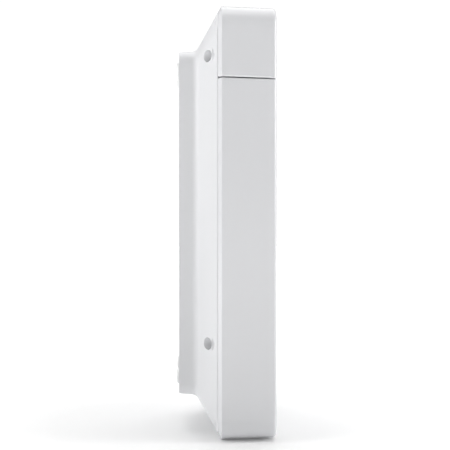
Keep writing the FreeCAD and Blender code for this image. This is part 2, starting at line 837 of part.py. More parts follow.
def housing_cuts():
    """Everything that is cut out of the rear housing."""
    cuts = []
    recess = plate("recess", "recess_width", "recess_height", "recess_radius", "0", "recess_depth")
    cuts.append(recess)
    entry = new_body("cable_entry")
    made = sketch_on(entry, "entry_outline", "recess_depth / 2")
    add_pill(made, "entry_width", "entry_height")
    pad(entry, made, "recess_depth")
    cuts.append(entry)
    cuts.append(
        ring_of(
            "reveal",
            "-1",
            f"{LIP_INSET} + reveal_inset",
            "corner_radius",
            f"corner_radius - {LIP_INSET}",
            "base_depth - reveal_width",
            "base_depth + 1",
        )
    )
    for n, (x, z) in enumerate(UPPER_SCREWS + LOWER_SCREWS):
        cuts.append(
            peg(f"head_bore_{n}", x, "plinth_depth", z, "case_screw_recess", "case_screw_seat - plinth_depth")
        )
        cuts.append(
            peg(f"shank_bore_{n}", x, "base_depth", z, "screw_diameter + 2 * screw_clearance", "base_depth")
        )
    for n, (x, z) in enumerate(PAD_SPOTS):
        cuts.append(peg(f"pad_seat_{n}", x, "0", z, "pad_diameter + fit_gap", "pad_sink"))
    for side in ("", "-"):
        low = f"({side} hook_x) - hook_width / 2 - hook_gap"
        depth = "bracket_plate + hook_gap + hook_gap"
        back = "hook_reach - bracket_plate - hook_gap"
        top = "recess_height / 2"
        tall = "bracket_height / 2 + hook_rise + 2 * hook_gap - recess_height / 2"
        size = "hook_width + 2 * hook_gap", depth, tall
        cuts.append(block(f"hook_slot{side}", low, back, top, *size))
        for end in ("", "-"):
            middle = f"{end}(body_height / 2 - {FLARE_INSET} - {FLARE_WALL} - relief_height / 2)"
            spot = f"{side}(recess_width / 2 - relief_width / 2)"
            deep = f"{RECESS_FLOOR} - relief_floor"
            name = f"relief{side}{end}"
            cuts.append(
                centred_block(name, spot, "relief_floor", middle, "relief_width", deep, "relief_height")
            )
    bottom, seat = lock_screw_places()
    reach = "-recess_height / 2 + recess_radius"
    cuts.append(
        upright(
            "lock_head_bore",
            "0",
            "lock_depth",
            f"{bottom} - 1",
            "screw_head + 2 * screw_clearance",
            "lock_sink + 1",
        ),
    )
    cuts.append(
        upright(
            "lock_shank_bore",
            "0",
            "lock_depth",
            seat,
            "screw_diameter + 2 * screw_clearance",
            f"{reach} - {seat}",
        ),
    )
    cuts.append(
        peg(
            "tamper_hole",
            "tamper_x",
            "base_wall",
            "tamper_z",
            "tamper_pin + 4 * fit_gap",
            "recess_depth + base_wall",
        ),
    )
    return cuts


def housing_gasket():
    """Rubber band round the tongue, squeezed between the rim and the covers."""
    keep(
        "housing_gasket",
        ring_of(
            "gasket",
            "cover_wall",
            "cover_wall + gasket_width",
            "corner_radius - cover_wall",
            "corner_radius - cover_wall - gasket_width",
            "base_depth",
            "base_depth + gasket_height",
        ),
    )


# Covers


def cover_blank(label, upper):
    """One cover before its front is cut: drafted, rounded, split at the seam and hollowed."""
    body = new_body(label)
    rim = outline_at(body, label + "_rim", "base_depth", LIP_INSET, f"corner_radius - {LIP_INSET} / 4")
    edge = outline_at(body, label + "_edge", "base_depth + lip_depth", "0", "corner_radius")
    front = outline_at(body, label + "_front", FRONT, FRONT_INSET, f"corner_radius - {FRONT_INSET}")
    loft(body, [rim, edge], label + "_lip")
    loft(body, [edge, front], label + "_slab")
    round_edges(body, "front_fillet", at_depth(FRONT), label + "_front_round")
    split = sketch_on(body, label + "_split", "0", "YZ_Plane")
    side, beyond = (1, "-body_height") if upper else (-1, "body_height")
    level = f"seam_height + ({side}) * seam_gap / 2"
    fall = f"({FRONT} + front_fillet) * tan(seam_slope)"
    add_outline(
        split,
        [
            ("0", f"{level} + base_depth * tan(seam_slope)"),
            ("0", beyond),
            (f"-{FRONT} - front_fillet", beyond),
            (f"-{FRONT} - front_fillet", f"{level} + base_depth * tan(seam_slope) - {fall}"),
        ],
    )
    away = pocket(body, split, "2 * body_width", label + "_away")
    away.Midplane = True
    doc.recompute()
    tilt = math.tan(math.radians(value("seam_slope")))

    def on_seam(edge_):
        ends = [v.Point for v in edge_.Vertexes] + [edge_.CenterOfMass]
        return all(abs(p.z - value(level) - (value("base_depth") + p.y) * tilt) < 1e-3 for p in ends)

    round_edges(body, "seam_fillet", on_seam, label + "_seam_round")
    hollow = sketch_on(body, label + "_hollow", "base_depth")
    wall = f"{level} + ({side}) * seam_wall"
    end = f"({side}) * (body_height / 2 - cover_wall)"
    tall = f"({side}) * (({end}) - ({wall}))"
    inner = "corner_radius - cover_wall"
    add_rounded(hollow, "body_width - 2 * cover_wall", tall, inner, "0", f"(({end}) + ({wall})) / 2")
    pocket(body, hollow, "cover_depth - front_wall", label + "_inside")
    gland_inset = "cover_wall + gasket_width + tongue_width + fit_gap"
    gland = outline_at(body, label + "_gland", "base_depth", "cover_wall", inner)
    size = f"body_width - 2 * ({gland_inset})", f"body_height - 2 * ({gland_inset})"
    add_rounded(gland, *size, "corner_radius - cover_wall - tongue_width - gasket_width + 1")
    pocket(body, gland, "tongue_height + fit_gap", label + "_gland_cut")
    notch = sketch_on(body, label + "_notch", "base_depth")
    low, high = ("seam_height", wall) if upper else (wall, "seam_height")
    half = "ribbon_notch / 2"
    spare = "seam_wall / 2"
    box = [
        (f"-{half}", f"{low} - {spare}"),
        (half, f"{low} - {spare}"),
        (half, f"{high} + {spare}"),
        (f"-{half}", f"{high} + {spare}"),
    ]
    add_outline(notch, box)
    pocket(body, notch, "ribbon_notch_depth - base_depth", label + "_ribbon_notch")
    return body


def upper_cover():
    """Camera cover above the seam, with the ledge that the window sits on."""
    body = cover_blank("upper_cover", True)
    raise_pegs(body, "case_bosses", "case_boss_diameter", "tower_top + fit_gap", WALL_INSIDE, UPPER_SCREWS)
    raise_pegs(body, "board_posts", "post_diameter", LED_BOARD_FRONT, WALL_INSIDE, CAMERA_POSTS)
    glass = sketch_on(body, "glass_seat", FRONT)
    add_pill(glass, "glass_width + 2 * fit_gap", "glass_height + 2 * fit_gap", "0", "camera_height")
    pocket(body, glass, "glass_sink + glass_thick", "glass_recess", forward=False)
    opening = sketch_on(body, "glass_opening", FRONT)
    add_pill(opening, "glass_width - 2 * glass_ledge", "glass_height - 2 * glass_ledge", "0", "camera_height")
    pocket(body, opening, "2 * front_wall", "opening", forward=False)
    thread = "screw_diameter + 2 * thread_clearance"
    drill(body, "case_threads", thread, "tower_top", f"{WALL_INSIDE} - fit_gap", UPPER_SCREWS)
    small = "small_screw + 2 * thread_clearance"
    drill(body, "post_threads", small, LED_BOARD_FRONT, f"{WALL_INSIDE} + fit_gap", CAMERA_POSTS)
    keep("upper_cover", body)


def main_cover():
    """Cover below the seam, with the button, motion sensor, grille and microphone openings."""
    body = cover_blank("main_cover", False)
    raise_pegs(
        body, "case_bosses_low", "case_boss_diameter", "tower_top + fit_gap", WALL_INSIDE, LOWER_SCREWS
    )
    raise_pegs(body, "board_bosses", "board_boss", BOARD_FRONT, WALL_INSIDE, BOARD_HOLES)
    raise_pegs(body, "clamp_bosses", "small_boss", f"{SOUND_STACK} - basket_rim", WALL_INSIDE, CLAMP_EARS)
    through = f"{FRONT} - 2 * front_wall", f"{FRONT} + 1"
    drill(body, "button_opening", "ring_diameter + 2 * fit_gap", *through, [("0", "button_height")])
    drill(body, "motion_opening", "fresnel_diameter + 2 * fit_gap", *through, [("0", "motion_height")])
    drill(body, "mic_opening", "mic_port", *through, [("0", "mic_height")])
    grille = sketch_on(body, "grille", f"{FRONT} - 2 * front_wall")
    for row in range(-3, 4):
        half = f"sqrt(grille_radius ^ 2 - ({row} * grille_pitch) ^ 2)"
        add_pill(grille, f"2 * {half}", "grille_slot", "0", f"speaker_height + ({row}) * grille_pitch")
    pocket(body, grille, "3 * front_wall", "grille_slots")
    thread = "screw_diameter + 2 * thread_clearance"
    drill(body, "case_threads_low", thread, "tower_top", f"{WALL_INSIDE} - fit_gap", LOWER_SCREWS)
    deep = f"{BOARD_FRONT} + board_screw_length + screw_diameter"
    drill(body, "board_threads", thread, "board_back", deep, BOARD_HOLES)
    small = "small_screw + 2 * thread_clearance"
    drill(
        body,
        "clamp_threads",
        small,
        f"{SOUND_STACK} - clamp_thick - basket_rim",
        f"{FRONT} - front_wall / 2",
        CLAMP_EARS,
    )
    dish_flare(body)
    keep("main_cover", body)


def dish_flare(body):
    """The shallow dish round the motion sensor's lens."""
    made = sketch_on(body, "dish_mouth", FRONT)
    add_circle(made, "dish_diameter", "0", "motion_height")
    floor = sketch_on(body, "dish_floor", f"{FRONT} - dish_depth")
    add_circle(floor, "fresnel_diameter + 2 * fit_gap", "0", "motion_height")
    feature = body.newObject("PartDesign::SubtractiveLoft", "dish")
    feature.Profile = made
    feature.Sections = [floor]
    feature.Ruled = True


# Fasteners


def screws(label, diameter, head, head_height, length, back, spots):
    """Socket-head screws that point to the front; back is the depth under their heads."""
    body = new_body(label)
    raise_pegs(body, label + "_heads", head, f"{back} - {head_height}", back, spots)
    raise_pegs(body, label + "_shanks", diameter, back, f"{back} + {length}", spots)
    socket = sketch_on(body, label + "_sockets", f"{back} - {head_height}")
    corner = "screw_socket / sqrt(3)"
    for x, z in spots:
        ring = [
            (f"({x}) + {corner} * cos({turn})", f"({z}) + {corner} * sin({turn})")
            for turn in range(0, 360, 60)
        ]
        add_outline(socket, ring)
    pocket(body, socket, "screw_socket_depth", label + "_drives")
    return keep(label, body)


def fasteners():
    """All the screws, one node for each kind."""
    standard = "screw_diameter", "screw_head", "screw_head_height"
    screws("case_screws", *standard, "case_screw_length", "case_screw_seat", UPPER_SCREWS + LOWER_SCREWS)
    screws("main_board_screws", *standard, "board_thick + board_screw_length", "board_back", BOARD_HOLES)
    small = "small_screw", "small_head", "small_head_height"
    camera = f"{WALL_INSIDE} - camera_board_back - 1"
    screws("camera_screws", *small, camera, "camera_board_back", CAMERA_POSTS)
    clamp = f"{SOUND_STACK} - basket_rim - clamp_thick"
    screws("speaker_screws", *small, f"{FRONT} - front_wall - ({clamp})", clamp, CLAMP_EARS)
    bottom, seat = lock_screw_places()
    tab_top = "-bracket_height / 2 + bracket_plate"
    head = upright(
        "lock_head", "0", "lock_depth", f"{seat} - screw_head_height", "screw_head", "screw_head_height"
    )
    shank = upright(
        "lock_shank", "0", "lock_depth", seat, "screw_diameter", f"{tab_top} + screw_diameter - {seat}"
    )
    drive = upright(
        "lock_drive", "0", "lock_depth", f"{seat} - screw_head_height", "screw_socket", "screw_socket_depth"
    )
    keep("locking_screw", cut("locking_screw", fuse("lock_solid", [head, shank]), drive))


# Wall side


def wall_bracket():
    """Pressed steel plate: four wall holes, a cable window, two hooks and the locking tab."""
    body = plate("wall_bracket", "bracket_width", "bracket_height", "bracket_radius", "0", "bracket_plate")
    window = sketch_on(body, "window", "0")
    add_rounded(window, "window_width", "window_height", "window_radius")
    pocket(body, window, "bracket_plate", "cable_window")
    drill(body, "wall_holes", "wall_hole", "0", "bracket_plate", WALL_HOLES)
    top = "bracket_height / 2"
    pieces = [body]
    for side in ("", "-"):
        low = f"({side} hook_x) - hook_width / 2"
        place_of_arm = low, "bracket_plate", f"{top} - bracket_plate"
        arm = *place_of_arm, "hook_width", "hook_reach - bracket_plate", "bracket_plate"
        tip = low, "hook_reach - bracket_plate", top, "hook_width", "bracket_plate", "hook_rise"
        pieces += [block(f"hook_arm{side}", *arm), block(f"hook_tip{side}", *tip)]
    tab_place = "-tab_width / 2", "bracket_plate", f"-{top}"
    tab_size = "tab_width", "tab_reach - bracket_plate", "bracket_plate"
    pieces.append(block("lock_tab", *tab_place, *tab_size))
    thread = upright(
        "lock_thread",
        "0",
        "lock_depth",
        f"-{top} - 1",
        "screw_diameter + 2 * thread_clearance",
        "bracket_plate + 2",
    )
    keep("wall_bracket", cut("bracket", fuse("bracket_solid", pieces), thread))


def wall_pads():
    """Four rubber pads with domed faces, sunk in the back of the plinth."""
    pads = []
    for n, (x, z) in enumerate(PAD_SPOTS):
        half = "pad_diameter / 2"
        dome = f"(({half}) ^ 2 + pad_proud ^ 2) / (2 * pad_proud)"
        corners = [("0", "pad_sink"), ("0", "-pad_proud", dome, 1), (half, "0"), (half, "pad_sink")]
        pads.append(turned(f"pad_{n}", corners, x, z))
    keep("wall_pads", group("wall_pads", pads))


def cable_grommet():
    """Rubber bung in the cable entry, with two thin skins to pierce for the wires."""
    body = new_body("cable_grommet")
    wide = "entry_width + 2 * grommet_flange", "entry_height + 2 * grommet_flange"
    back = sketch_on(body, "grommet_back", "recess_depth - grommet_lip")
    add_pill(back, *wide)
    pad(body, back, "grommet_lip", "back_lip")
    neck = sketch_on(body, "grommet_neck", "recess_depth")
    add_pill(neck, "entry_width", "entry_height")
    pad(body, neck, "base_wall", "neck")
    front = sketch_on(body, "grommet_front", RECESS_FLOOR)
    add_pill(front, *wide)
    pad(body, front, "grommet_lip", "front_lip")
    deep = f"{RECESS_FLOOR} + grommet_lip - grommet_skin"
    spots = [("grommet_pip_x", "0"), ("-grommet_pip_x", "0")]
    drill(body, "pips", "grommet_pip", "recess_depth - grommet_lip", deep, spots)
    keep("cable_grommet", body)


# Camera


def camera_window():
    """Dark window over the camera and its infra-red lights."""
    body = new_body("camera_window")
    made = sketch_on(body, "window_outline", GLASS_BACK)
    add_pill(made, "glass_width", "glass_height", "0", "camera_height")
    pad(body, made, "glass_thick", "window_plate")
    hole = [("0", "camera_height")]
    drill(body, "dome_hole", "dome_diameter + fit_gap", GLASS_BACK, GLASS_FRONT, hole)
    keep("camera_window", body)


def lens():
    """Clear dome, lens barrel, its front glass and the rubber baffle round it."""
    half = "dome_diameter / 2"
    edge = f"{GLASS_BACK} + dome_edge"
    rise = f"(dome_radius - sqrt(dome_radius ^ 2 - ({half}) ^ 2))"
    inner = "dome_diameter / 2 - 2 * dome_edge"
    inner_rise = f"(dome_radius - sqrt(dome_radius ^ 2 - ({inner}) ^ 2))"
    dome = [
        ("0", f"{GLASS_BACK} + {inner_rise}", "dome_radius", -1),
        (inner, GLASS_BACK),
        (half, GLASS_BACK),
        (half, edge, "dome_radius", 1),
        ("0", f"{edge} + {rise}"),
    ]
    keep("lens_cover", turned("lens_cover", dome, "0", "camera_height"))
    bore, slim, thread = "barrel_bore / 2", "barrel_diameter / 2", "barrel_thread / 2"
    front = "(barrel_front - baffle_wall - element_edge)"
    seat = f"({front} - element_edge)"
    barrel = [
        (f"{bore} - element_edge", "barrel_back"),
        (thread, "barrel_back"),
        (thread, "barrel_step"),
        (slim, "barrel_step"),
        (slim, "barrel_front"),
        (f"{bore} + baffle_wall", "barrel_front"),
        (bore, "barrel_front - baffle_wall"),
        (bore, seat),
        (f"{bore} - element_edge", seat),
    ]
    keep("lens_barrel", turned("lens_barrel", barrel, "0", "camera_height"))
    glass = f"{bore} - thread_clearance"
    bulge = f"(element_radius - sqrt(element_radius ^ 2 - ({glass}) ^ 2))"
    element = [("0", seat), (glass, seat), (glass, front, "element_radius", 1), ("0", f"{front} + {bulge}")]
    keep("front_lens", turned("front_lens", element, "0", "camera_height"))
    sleeve = "barrel_diameter + 2 * fit_gap"
    outside = f"{sleeve} + 2 * baffle_wall"
    keep("lens_baffle", tube("lens_baffle", outside, sleeve, "barrel_step", GLASS_BACK, "0", "camera_height"))


def lens_holder():
    """Square mount on the camera board that the barrel screws into."""
    body = plate(
        "lens_holder",
        "holder_size",
        "holder_size",
        "holder_wall",
        CAMERA_BOARD_FRONT,
        f"{CAMERA_BOARD_FRONT} + holder_base",
        "0",
        "camera_height",
    )
    middle = [("0", "camera_height")]
    raise_pegs(
        body,
        "holder_sleeve",
        "holder_tube",
        f"{CAMERA_BOARD_FRONT} + holder_base",
        f"{CAMERA_BOARD_FRONT} + holder_height",
        middle,
    )
    thread = "barrel_thread + 2 * thread_clearance"
    drill(body, "holder_thread", thread, CAMERA_BOARD_FRONT, f"{CAMERA_BOARD_FRONT} + holder_height", middle)
    keep("lens_holder", body)


def camera_boards():
    """The sensor board, the light board in front of it and the stack that holds them."""
    board = plate(
        "camera_board",
        "camera_board_width",
        "camera_board_height",
        "board_radius",
        "camera_board_back",
        CAMERA_BOARD_FRONT,
        "0",
        "camera_height",
    )
    hole = "small_screw + 2 * screw_clearance"
    drill(board, "camera_board_holes", hole, "camera_board_back", CAMERA_BOARD_FRONT, CAMERA_POSTS)
    keep("camera_board", board)
    lights = plate(
        "led_board",
        "led_board_width",
        "led_board_height",
        "board_radius",
        "led_board_back",
        LED_BOARD_FRONT,
        "0",
        "camera_height",
    )
    drill(lights, "led_board_holes", hole, "led_board_back", LED_BOARD_FRONT, CAMERA_POSTS)
    drill(
        lights,
        "led_board_bore",
        "barrel_thread + 2 * baffle_wall",
        "led_board_back",
        LED_BOARD_FRONT,
        [("0", "camera_height")],
    )
    keep("led_board", lights)
    sleeves = [
        tube(f"spacer_{n}", "post_diameter", hole, CAMERA_BOARD_FRONT, "led_board_back", x, z)
        for n, (x, z) in enumerate(CAMERA_POSTS)
    ]
    keep("board_spacers", group("board_spacers", sleeves))
    keep(
        "image_sensor",
        centred_block(
            "image_sensor",
            "0",
            CAMERA_BOARD_FRONT,
            "camera_height",
            "sensor_size",
            "sensor_height",
            "sensor_size",
        ),
    )
    leds = new_body("ir_leds")
    spots = [
        (f"{side}(ir_led_first + {n} * ir_led_pitch)", "camera_height")
        for side in ("", "-")
        for n in range(3)
    ]
    bases = sketch_on(leds, "ir_led_bases", LED_BOARD_FRONT)
    for x, z in spots:
        add_rounded(bases, "ir_led_size", "ir_led_size", "ir_led_size / 8", x, z)
    pad(leds, bases, "ir_led_height", "ir_led_blocks")
    raise_pegs(
        leds,
        "ir_led_domes",
        "ir_led_dome",
        f"{LED_BOARD_FRONT} + ir_led_height",
        f"{LED_BOARD_FRONT} + ir_led_height + ir_led_dome / 3",
        spots,
    )
    top = f"{LED_BOARD_FRONT} + ir_led_height + ir_led_dome / 3"
    round_edges(leds, "ir_led_dome / 4", at_depth(top), "ir_led_round")
    keep("ir_leds", leds)


# Motion sensor


def motion_sensor():
    """Domed lens, the shroud behind it and the metal-can sensor on the board."""
    half = "fresnel_diameter / 2"
    back = f"{WALL_INSIDE} - fresnel_wall"
    outer_rise = f"(fresnel_radius - sqrt(fresnel_radius ^ 2 - ({half}) ^ 2))"
    inner = f"({half} - fresnel_wall)"
    shrunk = "(fresnel_radius - fresnel_wall)"
    inner_rise = f"({shrunk} - sqrt({shrunk} ^ 2 - {inner} ^ 2))"
    lens_corners = [
        ("0", f"{WALL_INSIDE} + {inner_rise} - fresnel_wall + {shoulder()}", shrunk, -1),
        (inner, f"{WALL_INSIDE} - fresnel_wall + {shoulder()}"),
        (inner, back),
        (f"{half} + fresnel_flange", back),
        (f"{half} + fresnel_flange", WALL_INSIDE),
        (half, WALL_INSIDE),
        (half, f"{WALL_INSIDE} + {shoulder()}", "fresnel_radius", 1),
        ("0", f"{WALL_INSIDE} + {shoulder()} + {outer_rise}"),
    ]
    keep("motion_lens", turned("motion_lens", lens_corners, "0", "motion_height"))
    outer = "fresnel_diameter + 2 * fresnel_flange"
    keep(
        "motion_shroud",
        tube("motion_shroud", outer, f"{outer} - 2 * shroud_wall", BOARD_FRONT, back, "0", "motion_height"),
    )
    can = new_body("motion_sensor")
    middle = [("0", "motion_height")]
    raise_pegs(can, "can_base", "can_flange", "can_back", "can_back + can_leg", middle)
    raise_pegs(can, "can_body", "can_diameter", "can_back + can_leg", "can_back + can_height", middle)
    window = sketch_on(can, "can_window_outline", "can_back + can_height")
    add_rounded(window, "can_window", "can_window", "can_leg", "0", "motion_height")
    pocket(can, window, "can_leg", "can_window_cut", forward=False)
    legs = [
        (f"can_leg_circle * cos({a})", f"motion_height + can_leg_circle * sin({a})") for a in (90, 210, 330)
    ]
    raise_pegs(can, "can_legs", "can_leg", BOARD_FRONT, "can_back", legs)
    keep("motion_sensor", can)


def shoulder():
    """How far the motion lens rises straight out of the dish before its dome starts."""
    half = "fresnel_diameter / 2"
    return f"(front_wall - glass_sink / 2 - (fresnel_radius - sqrt(fresnel_radius ^ 2 - ({half}) ^ 2)))"


# Call button


def call_button():
    """Round button with its stem, the bell mark on it and the clip that keeps it in."""
    half, stem = "button_diameter / 2", "stem_diameter / 2"
    groove_top = "(guide_floor - fit_gap)"
    groove = f"({groove_top} - clip_thick)"
    corners = [
        ("0", "stem_tip"),
        (f"{stem} - button_edge", "stem_tip"),
        (stem, "stem_tip + button_edge"),
        (stem, groove),
        ("clip_groove / 2", groove),
        ("clip_groove / 2", groove_top),
        (stem, groove_top),
        (stem, BUTTON_BACK),
        (half, BUTTON_BACK),
        (half, "button_front - button_edge", "button_edge", 1),
        (f"{half} - button_edge", "button_front"),
        ("0", "button_front"),
    ]
    keep("call_button", turned("call_button", corners, "0", "button_height"))
    clip = tube("button_clip", "clip_diameter", "clip_groove", groove, groove_top, "0", "button_height")
    mouth = centred_block(
        "clip_mouth",
        "0",
        groove,
        "button_height - clip_diameter / 2",
        "clip_groove * 3 / 4",
        "clip_thick",
        "clip_diameter",
    )
    keep("button_clip", cut("button_clip_open", clip, mouth))
    keep("button_symbol", bell_mark())


def bell_mark():
    """A plain bell: dome and skirt, clapper and knob."""
    body = new_body("button_symbol")
    made = sketch_on(body, "bell_outline", "button_front")
    half, flare, z = "symbol_half", "symbol_flare", "button_height"
    low = f"{z} - symbol_half * 0.9"
    waist = f"{z} - symbol_half * 0.3"
    brow = f"{z} + symbol_half / 3"
    bell = [
        (f"-{flare}", low),
        (flare, low),
        (half, waist),
        (half, brow, f"{half} * 1.001", 1),
        (f"-{half}", brow),
        (f"-{half}", waist),
    ]
    add_outline(made, bell)
    clapper = "symbol_half * 0.42"
    drop = f"{low} - symbol_half * 0.18"
    add_outline(made, [(f"-{clapper}", drop, f"{clapper} * 1.001", 1), (clapper, drop)])
    add_circle(made, "symbol_half * 0.42", "0", f"{brow} + {half} * 1.3")
    pad(body, made, "symbol_thick", "bell_pad")
    return body


def light_ring():
    """Translucent ring round the button, with a skirt that collects the light from the board."""
    outer, inner = "ring_diameter / 2", RING_INSIDE
    skirt = f"({outer} - ring_skirt)"
    flange_back = f"({WALL_INSIDE} - ring_flange_thick)"
    corners = [
        (skirt, "ring_back"),
        (outer, "ring_back"),
        (outer, flange_back),
        (f"{outer} + ring_flange", flange_back),
        (f"{outer} + ring_flange", WALL_INSIDE),
        (outer, WALL_INSIDE),
        (outer, "ring_front - button_edge", "button_edge", 1),
        (f"{outer} - button_edge", "ring_front"),
        (f"{inner} + button_edge / 2", "ring_front"),
        (inner, "ring_front - button_edge / 2"),
        (inner, flange_back),
        (skirt, flange_back),
    ]
    keep("light_ring", turned("light_ring", corners, "0", "button_height"))


def button_guide():
    """Cup inside the ring that guides the stem and carries the spring, and the seal above it."""
    outside = "ring_diameter / 2 - ring_skirt - fit_gap / 2"
    hole = "stem_diameter / 2 + fit_gap"
    top = "guide_floor + guide_thick"
    cup = [
        (hole, "guide_floor"),
        (outside, "guide_floor"),
        (outside, "guide_top"),
        (f"{outside} - guide_wall", "guide_top"),
        (f"{outside} - guide_wall", top),
        (hole, top),
    ]
    keep("button_guide", turned("button_guide", cup, "0", "button_height"))
    flange = f"{outside} - guide_wall"
    ledge = f"({WALL_INSIDE} - ring_flange_thick)"
    hub = "stem_diameter / 2 + fit_gap / 2"
    hub_back = f"({BUTTON_BACK} - seal_hub_height)"
    seal = [
        (hub, hub_back),
        ("seal_hub", hub_back),
        ("seal_hub", f"{hub_back} + fit_gap"),
        (flange, "guide_top + fit_gap"),
        (flange, "guide_top"),
        (outside, "guide_top"),
        (outside, ledge),
        (flange, ledge),
        (flange, "guide_top + seal_skin + fit_gap"),
        ("seal_hub", f"{hub_back} + fit_gap + seal_skin"),
        ("seal_hub", BUTTON_BACK),
        (hub, BUTTON_BACK),
    ]
    keep("button_seal", turned("button_seal", seal, "0", "button_height"))


def button_spring():
    """Coil spring between the guide's floor and the seal's hub; its wire has eight flats."""
    body = new_body("button_spring")
    wire = sketch_on(body, "spring_wire_section", plane="XY_Plane")
    radius = "(spring_wire / 2 * sqrt(pi / (2 * sqrt(2))))"
    start = f"({BUTTON_BACK} - seal_hub_height - spring_wire / 2)"
    middle = "(spring_diameter - spring_wire) / 2"
    turns = [45 * n + 22.5 for n in range(8)]
    add_outline(wire, [(f"{middle} + {radius} * cos({a})", f"{radius} * sin({a}) - {start}") for a in turns])
    coil = body.newObject("PartDesign::AdditiveHelix", "spring_coil")
    coil.Profile = wire
    coil.ReferenceAxis = (wire, ["V_Axis"])
    coil.Mode = "height-turns-angle"
    coil.Angle = 0
    coil.Growth = 0
    bind(coil, "Height", f"{start} - guide_floor - guide_thick - spring_wire / 2")
    bind(coil, "Turns", "spring_turns")
    keep("button_spring", place(body, "0", "0", "button_height"))


def button_switch():
    """Tactile switch under the stem, and the ring of small lights on the board."""
    switch = centred_block(
        "tact_body", "0", BOARD_FRONT, "button_height", "tact_size", "tact_height", "tact_size"
    )
    bore = "tact_plunger + 2 * fit_gap"
    room = peg("tact_bore", "0", f"{BOARD_FRONT} + tact_plunger_foot", "button_height", bore, "tact_height")
    keep("tact_switch", cut("tact_switch", switch, room))
    foot = f"({BOARD_FRONT} + tact_height - tact_plunger_foot / 4)"
    keep(
        "tact_plunger",
        peg("tact_plunger_peg", "0", foot, "button_height", "tact_plunger", f"stem_tip - {foot}"),
    )
    lights = new_body("ring_leds")
    made = sketch_on(lights, "ring_led_spots", BOARD_FRONT)
    circle = "(ring_diameter / 2 - ring_skirt / 2)"
    count = int(SIZES["ring_led_count"])
    for n in range(count):
        turn = f"({n} + 0.5) * 360 / ring_led_count"
        spot = f"{circle} * cos({turn})", f"button_height + {circle} * sin({turn})"
        add_rounded(made, "ring_led_size", "ring_led_size", "ring_led_size / 8", *spot)
    pad(lights, made, "ring_led_height", "ring_led_pads")
    keep("ring_leds", lights)


# Loudspeaker and microphone


def speaker():
    """Loudspeaker behind the grille: cloth, foam ring, basket, cone, magnet and clamp."""
    place_at = "0", "speaker_height"
    rim = "basket_diameter / 2"
    keep(
        "speaker_mesh",
        tube("speaker_mesh", "basket_diameter", "0", f"{WALL_INSIDE} - mesh_thick", WALL_INSIDE, *place_at),
    )
    keep(
        "speaker_gasket",
        tube(
            "speaker_gasket",
            "basket_diameter",
            "basket_diameter - 2 * foam_width",
            SOUND_STACK,
            f"{WALL_INSIDE} - mesh_thick",
            *place_at,
        ),
    )
    rim_back = f"({SOUND_STACK} - basket_rim)"
    mouth = f"({rim} - basket_rim_width)"
    magnet = "magnet_diameter / 2"
    basket = [
        ("cone_neck + basket_skin", "basket_back"),
        (f"{magnet} + basket_skin", "basket_back"),
        (f"{magnet} + basket_skin", "basket_back + basket_skin"),
        (f"{mouth} + basket_skin", f"{SOUND_STACK} - basket_well"),
        (f"{mouth} + basket_skin", rim_back),
        (rim, rim_back),
        (rim, SOUND_STACK),
        (mouth, SOUND_STACK),
        (mouth, f"{SOUND_STACK} - basket_well"),
        (magnet, "basket_back + 2 * basket_skin"),
        ("cone_neck + basket_skin", "basket_back + basket_skin"),
    ]
    keep("speaker_frame", turned("speaker_frame", basket, *place_at))
    keep(
        "speaker_magnet",
        tube("speaker_magnet", "magnet_diameter", "0", "magnet_back", "basket_back", *place_at),
    )
    lip = mouth
    front = f"({SOUND_STACK} - basket_skin / 2)"
    cone = [
        ("0", "cone_neck_depth + cone_neck / 4", "cone_neck * 2.5", -1),
        ("cone_neck", "cone_neck_depth"),
        (f"{lip} - 2 * basket_skin", f"{front} - cone_skin - basket_skin", "basket_skin * 1.3", -1),
        (lip, f"{front} - cone_skin"),
        (lip, front, "basket_skin * 1.3", 1),
        (f"{lip} - 2 * basket_skin", f"{front} - basket_skin"),
        ("cone_neck", "cone_neck_depth + cone_skin", "cone_neck * 2.5", 1),
        ("0", "cone_neck_depth + cone_skin + cone_neck / 4"),
    ]
    keep("speaker_cone", turned("speaker_cone", cone, *place_at))
    clamp = new_body("speaker_clamp")
    made = sketch_on(clamp, "clamp_ring", f"{rim_back} - clamp_thick")
    add_circle(made, "clamp_width", *place_at)
    pad(clamp, made, "clamp_thick", "clamp_disc")
    raise_pegs(clamp, "clamp_ears", "clamp_ear", f"{rim_back} - clamp_thick", rim_back, CLAMP_EARS)
    drill(
        clamp,
        "clamp_mouth",
        "basket_diameter - 2 * clamp_bite + basket_rim",
        f"{rim_back} - clamp_thick",
        rim_back,
        [place_at],
    )
    hole = "small_screw + 2 * screw_clearance"
    drill(clamp, "clamp_holes", hole, f"{rim_back} - clamp_thick", rim_back, CLAMP_EARS)
    keep("speaker_clamp", clamp)


def microphone():
    """Microphone capsule in its rubber boot behind the port."""
    place_at = "0", "mic_height"
    inner = "mic_diameter / 2"
    face = f"({WALL_INSIDE} - boot_wall)"
    back = f"({WALL_INSIDE} - boot_length)"
    boot = [
        (inner, back),
        (f"{inner} + boot_wall", back),
        (f"{inner} + boot_wall", WALL_INSIDE),
        ("mic_port", WALL_INSIDE),
        ("mic_port", face),
        (inner, face),
    ]
    keep("microphone_boot", turned("microphone_boot", boot, *place_at))
    capsule = tube("microphone", "mic_diameter - fit_gap", "0", f"{face} - mic_length", face, *place_at)
    keep("microphone", capsule)


# Main board


def main_board():
    """Circuit board screwed to the main cover."""
    middle = "(board_top + board_bottom) / 2"
    tall = "board_top - board_bottom"
    body = plate("main_board", "board_width", tall, "board_radius", "board_back", BOARD_FRONT, "0", middle)
    hole = "screw_diameter + 2 * screw_clearance"
    drill(body, "main_board_holes", hole, "board_back", BOARD_FRONT, BOARD_HOLES)
    keep("main_board", body)


